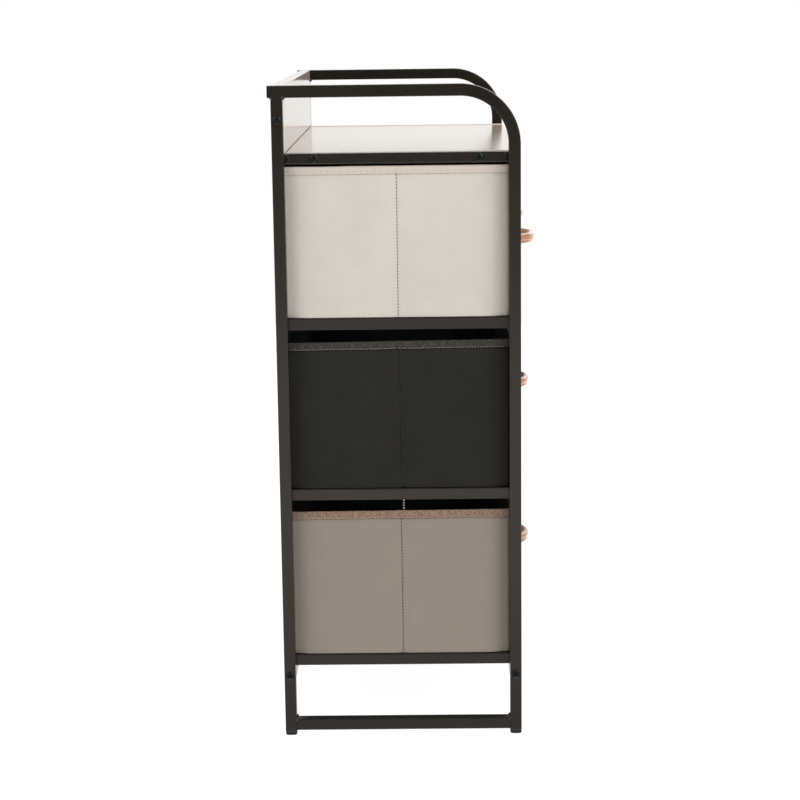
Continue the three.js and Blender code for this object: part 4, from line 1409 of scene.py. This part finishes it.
class DRESSER_OT_stage(bpy.types.Operator):
    """Set the floor, the white backdrop, the soft studio light and the camera"""
    bl_idname = "dresser.make_stage"
    bl_label = "Floor, light and camera"

    floor_radius, floor_glow, floor_shade = 3.2, 0.96, 0.2
    backdrop_radius, backdrop_tilt = 40.0, 89

    def execute(self, context):
        scene = context.scene
        scene.view_settings.view_transform = "Standard"
        self.camera(scene)
        self.floor(scene)
        self.backdrop(scene)
        self.studio(scene)
        self.softboxes(scene)
        return {"FINISHED"}

    def camera(self, scene):
        """The camera looks along +X at the left side frame, a little down, from 2.8 m away."""
        yaw, pitch, roll = 0.01392, 0.19159, -0.01307
        stand = (-2.84592, legs_middle() - 0.03597, 0.93809)
        ahead = Vector((math.cos(yaw) * math.cos(pitch), math.sin(yaw) * math.cos(pitch), -math.sin(pitch)))
        right = Vector((math.sin(yaw), -math.cos(yaw), 0))
        up = right.cross(ahead)
        across = right * math.cos(roll) + up * math.sin(roll)
        upward = up * math.cos(roll) - right * math.sin(roll)
        data = bpy.data.cameras.new("photo_camera")
        data.sensor_fit = "HORIZONTAL"
        data.sensor_width = 36.0
        data.lens = 91.06
        camera = bpy.data.objects.new("photo_camera", data)
        scene.collection.objects.link(camera)
        turn = Matrix((across, upward, -ahead)).transposed().to_4x4()
        camera.matrix_world = Matrix.Translation(stand) @ turn
        scene.camera = camera

    def stage_piece(self, scene, name, points, faces, glow, shade):
        """A white surface of the stage, which glows and also takes some light."""
        mesh = make_mesh(name, points, faces)
        made = bpy.data.materials.new(name)
        made.use_nodes = True
        set_inputs(made.node_tree, made.node_tree.nodes["Principled BSDF"], {
            "Base Color": (shade, shade, shade, 1.0), "Roughness": 0.9, "Specular IOR Level": 0.0,
            "Emission Color": (1.0, 1.0, 1.0, 1.0), "Emission Strength": glow})
        mesh.materials.append(made)
        piece = bpy.data.objects.new(name, mesh)
        scene.collection.objects.link(piece)
        return piece

    def floor(self, scene):
        """A round white floor lit from below, as a light table is, so that only a faint shadow shows."""
        steps = 96
        turns = [2 * math.pi * place / steps for place in range(steps)]
        rim = [(self.floor_radius * math.cos(turn), self.floor_radius * math.sin(turn), 0) for turn in turns]
        disc = [tuple(range(steps))]
        floor = self.stage_piece(scene, "studio_floor", rim, disc, self.floor_glow, self.floor_shade)
        floor.visible_glossy = False

    def backdrop(self, scene):
        """A white sphere round the stage, which only the camera sees."""
        steps, rows, radius = 32, 16, self.backdrop_radius
        rings = []
        turns = [2 * math.pi * place / steps for place in range(steps)]
        for row in range(rows + 1):
            rise = math.radians(self.backdrop_tilt * (2 * row / rows - 1))
            wide, z = radius * math.cos(rise), radius * math.sin(rise)
            rings.append([Vector((wide * math.cos(turn), wide * math.sin(turn), z)) for turn in turns])
        sphere = self.stage_piece(scene, "studio_backdrop", *lofted(rings), 1.0, 0.0)
        for ray in ("diffuse", "glossy", "transmission", "volume_scatter", "shadow"):
            setattr(sphere, f"visible_{ray}", False)

    def studio(self, scene):
        """The light of the room: dim behind the camera and bright behind the dresser. Glossy faces also
        find the room's floor in it, which is bright some way off and dim close by and at the far end."""
        world = bpy.data.worlds.new("studio")
        world.use_nodes = True
        tree = world.node_tree
        towards = add_node(tree, "ShaderNodeTexCoord", output="Generated")
        ahead = add_node(tree, "ShaderNodeSeparateXYZ", {"Vector": towards}, "X")
        rise = add_node(tree, "ShaderNodeSeparateXYZ", {"Vector": towards}, "Z")
        # What is measured, where it starts and ends, and the light's strength there
        ramps = (
            (ahead, -0.97, -0.6, 0.05, 0.45),
            (ahead, 0.5, 0.75, 0.0, 0.66),
            (rise, 0.24, 0.34, 1.0, 0.1),
            (rise, -0.205, -0.08, 1.65, 0.05),
            (rise, -0.34, -0.28, 0.15, 1.0),
            (rise, -0.95, -0.62, 3.0, 0.0),
        )
        room, wall, low, off, close, under = [
            add_node(tree, RANGE, {
                "Value": value, "From Min": start, "From Max": end, "To Min": first, "To Max": last})
            for value, start, end, first, last in ramps]
        lit = add_node(tree, MATHS, {0: wall, 1: low}, operation="MULTIPLY")
        above = add_node(tree, MATHS, {0: room, 1: lit}, operation="ADD")
        below = add_node(tree, MATHS, {0: off, 1: close}, operation="MULTIPLY")
        ground = add_node(tree, MATHS, {0: below, 1: under}, operation="MAXIMUM")
        strength = add_node(tree, MATHS, {0: above, 1: ground}, operation="MAXIMUM")
        set_inputs(tree, tree.nodes["Background"], {"Color": (1.0, 1.0, 1.0, 1.0), "Strength": strength})
        scene.world = world

    def softboxes(self, scene):
        """Four square softboxes round the dresser, aimed at its middle, that the camera doesn't see."""
        aimed_at = Vector((0, 0, 0.45))
        # Name, place and width in metres, power in watts
        boxes = (
            ("front_softbox", (-2.5, -2.3, 2.2), 2.8, 80.0),
            ("rear_softbox", (-2.5, 2.3, 2.2), 2.8, 46.0),
            ("top_softbox", (0.2, 0.0, 3.4), 2.6, 26.0),
            ("far_softbox", (2.4, -1.6, 2.2), 2.4, 26.0),
        )
        for name, place, size, power in boxes:
            data = bpy.data.lights.new(name, "AREA")
            data.shape = "SQUARE"
            data.size = size
            data.energy = power
            lamp = bpy.data.objects.new(name, data)
            lamp.location = place
            aim = aimed_at - Vector(place)
            lamp.rotation_euler = aim.to_track_quat("-Z", "Y").to_euler()
            lamp.visible_camera = False
            scene.collection.objects.link(lamp)


class DRESSER_PT_panel(bpy.types.Panel):
    """Lists the dresser's sizes, colours and steps"""
    bl_idname = "DRESSER_PT_panel"
    bl_label = "Fabric drawer dresser"
    bl_space_type = "VIEW_3D"
    bl_region_type = "UI"
    bl_category = "Dresser"

    def draw(self, context):
        layout = self.layout
        for group in (context.scene.dresser_sizes, context.scene.dresser_colours):
            box = layout.box()
            for name in group.bl_rna.properties.keys():
                if name not in ("rna_type", "name"):
                    box.prop(group, name)
        for step in STEPS:
            layout.operator(step.bl_idname)


STEPS = (
    DRESSER_OT_stage, DRESSER_OT_frame, DRESSER_OT_welds, DRESSER_OT_fasteners, DRESSER_OT_feet,
    DRESSER_OT_boards, DRESSER_OT_bins, DRESSER_OT_fronts, DRESSER_OT_handles,
)
CLASSES = (DresserSizes, DresserColours, *STEPS, DRESSER_PT_panel)


def register():
    """Registers the classes, and gives the scene the sizes and colours."""
    for one in CLASSES:
        bpy.utils.register_class(one)
    bpy.types.Scene.dresser_sizes = bpy.props.PointerProperty(type=DresserSizes)
    bpy.types.Scene.dresser_colours = bpy.props.PointerProperty(type=DresserColours)


def unregister():
    """Undoes what register did, in the opposite order."""
    del bpy.types.Scene.dresser_colours
    del bpy.types.Scene.dresser_sizes
    for one in reversed(CLASSES):
        bpy.utils.unregister_class(one)


def main():
    """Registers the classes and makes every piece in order."""
    register()
    for step in STEPS:
        group, name = step.bl_idname.split(".")
        getattr(getattr(bpy.ops, group), name)()


if __name__ == "__main__":
    main()
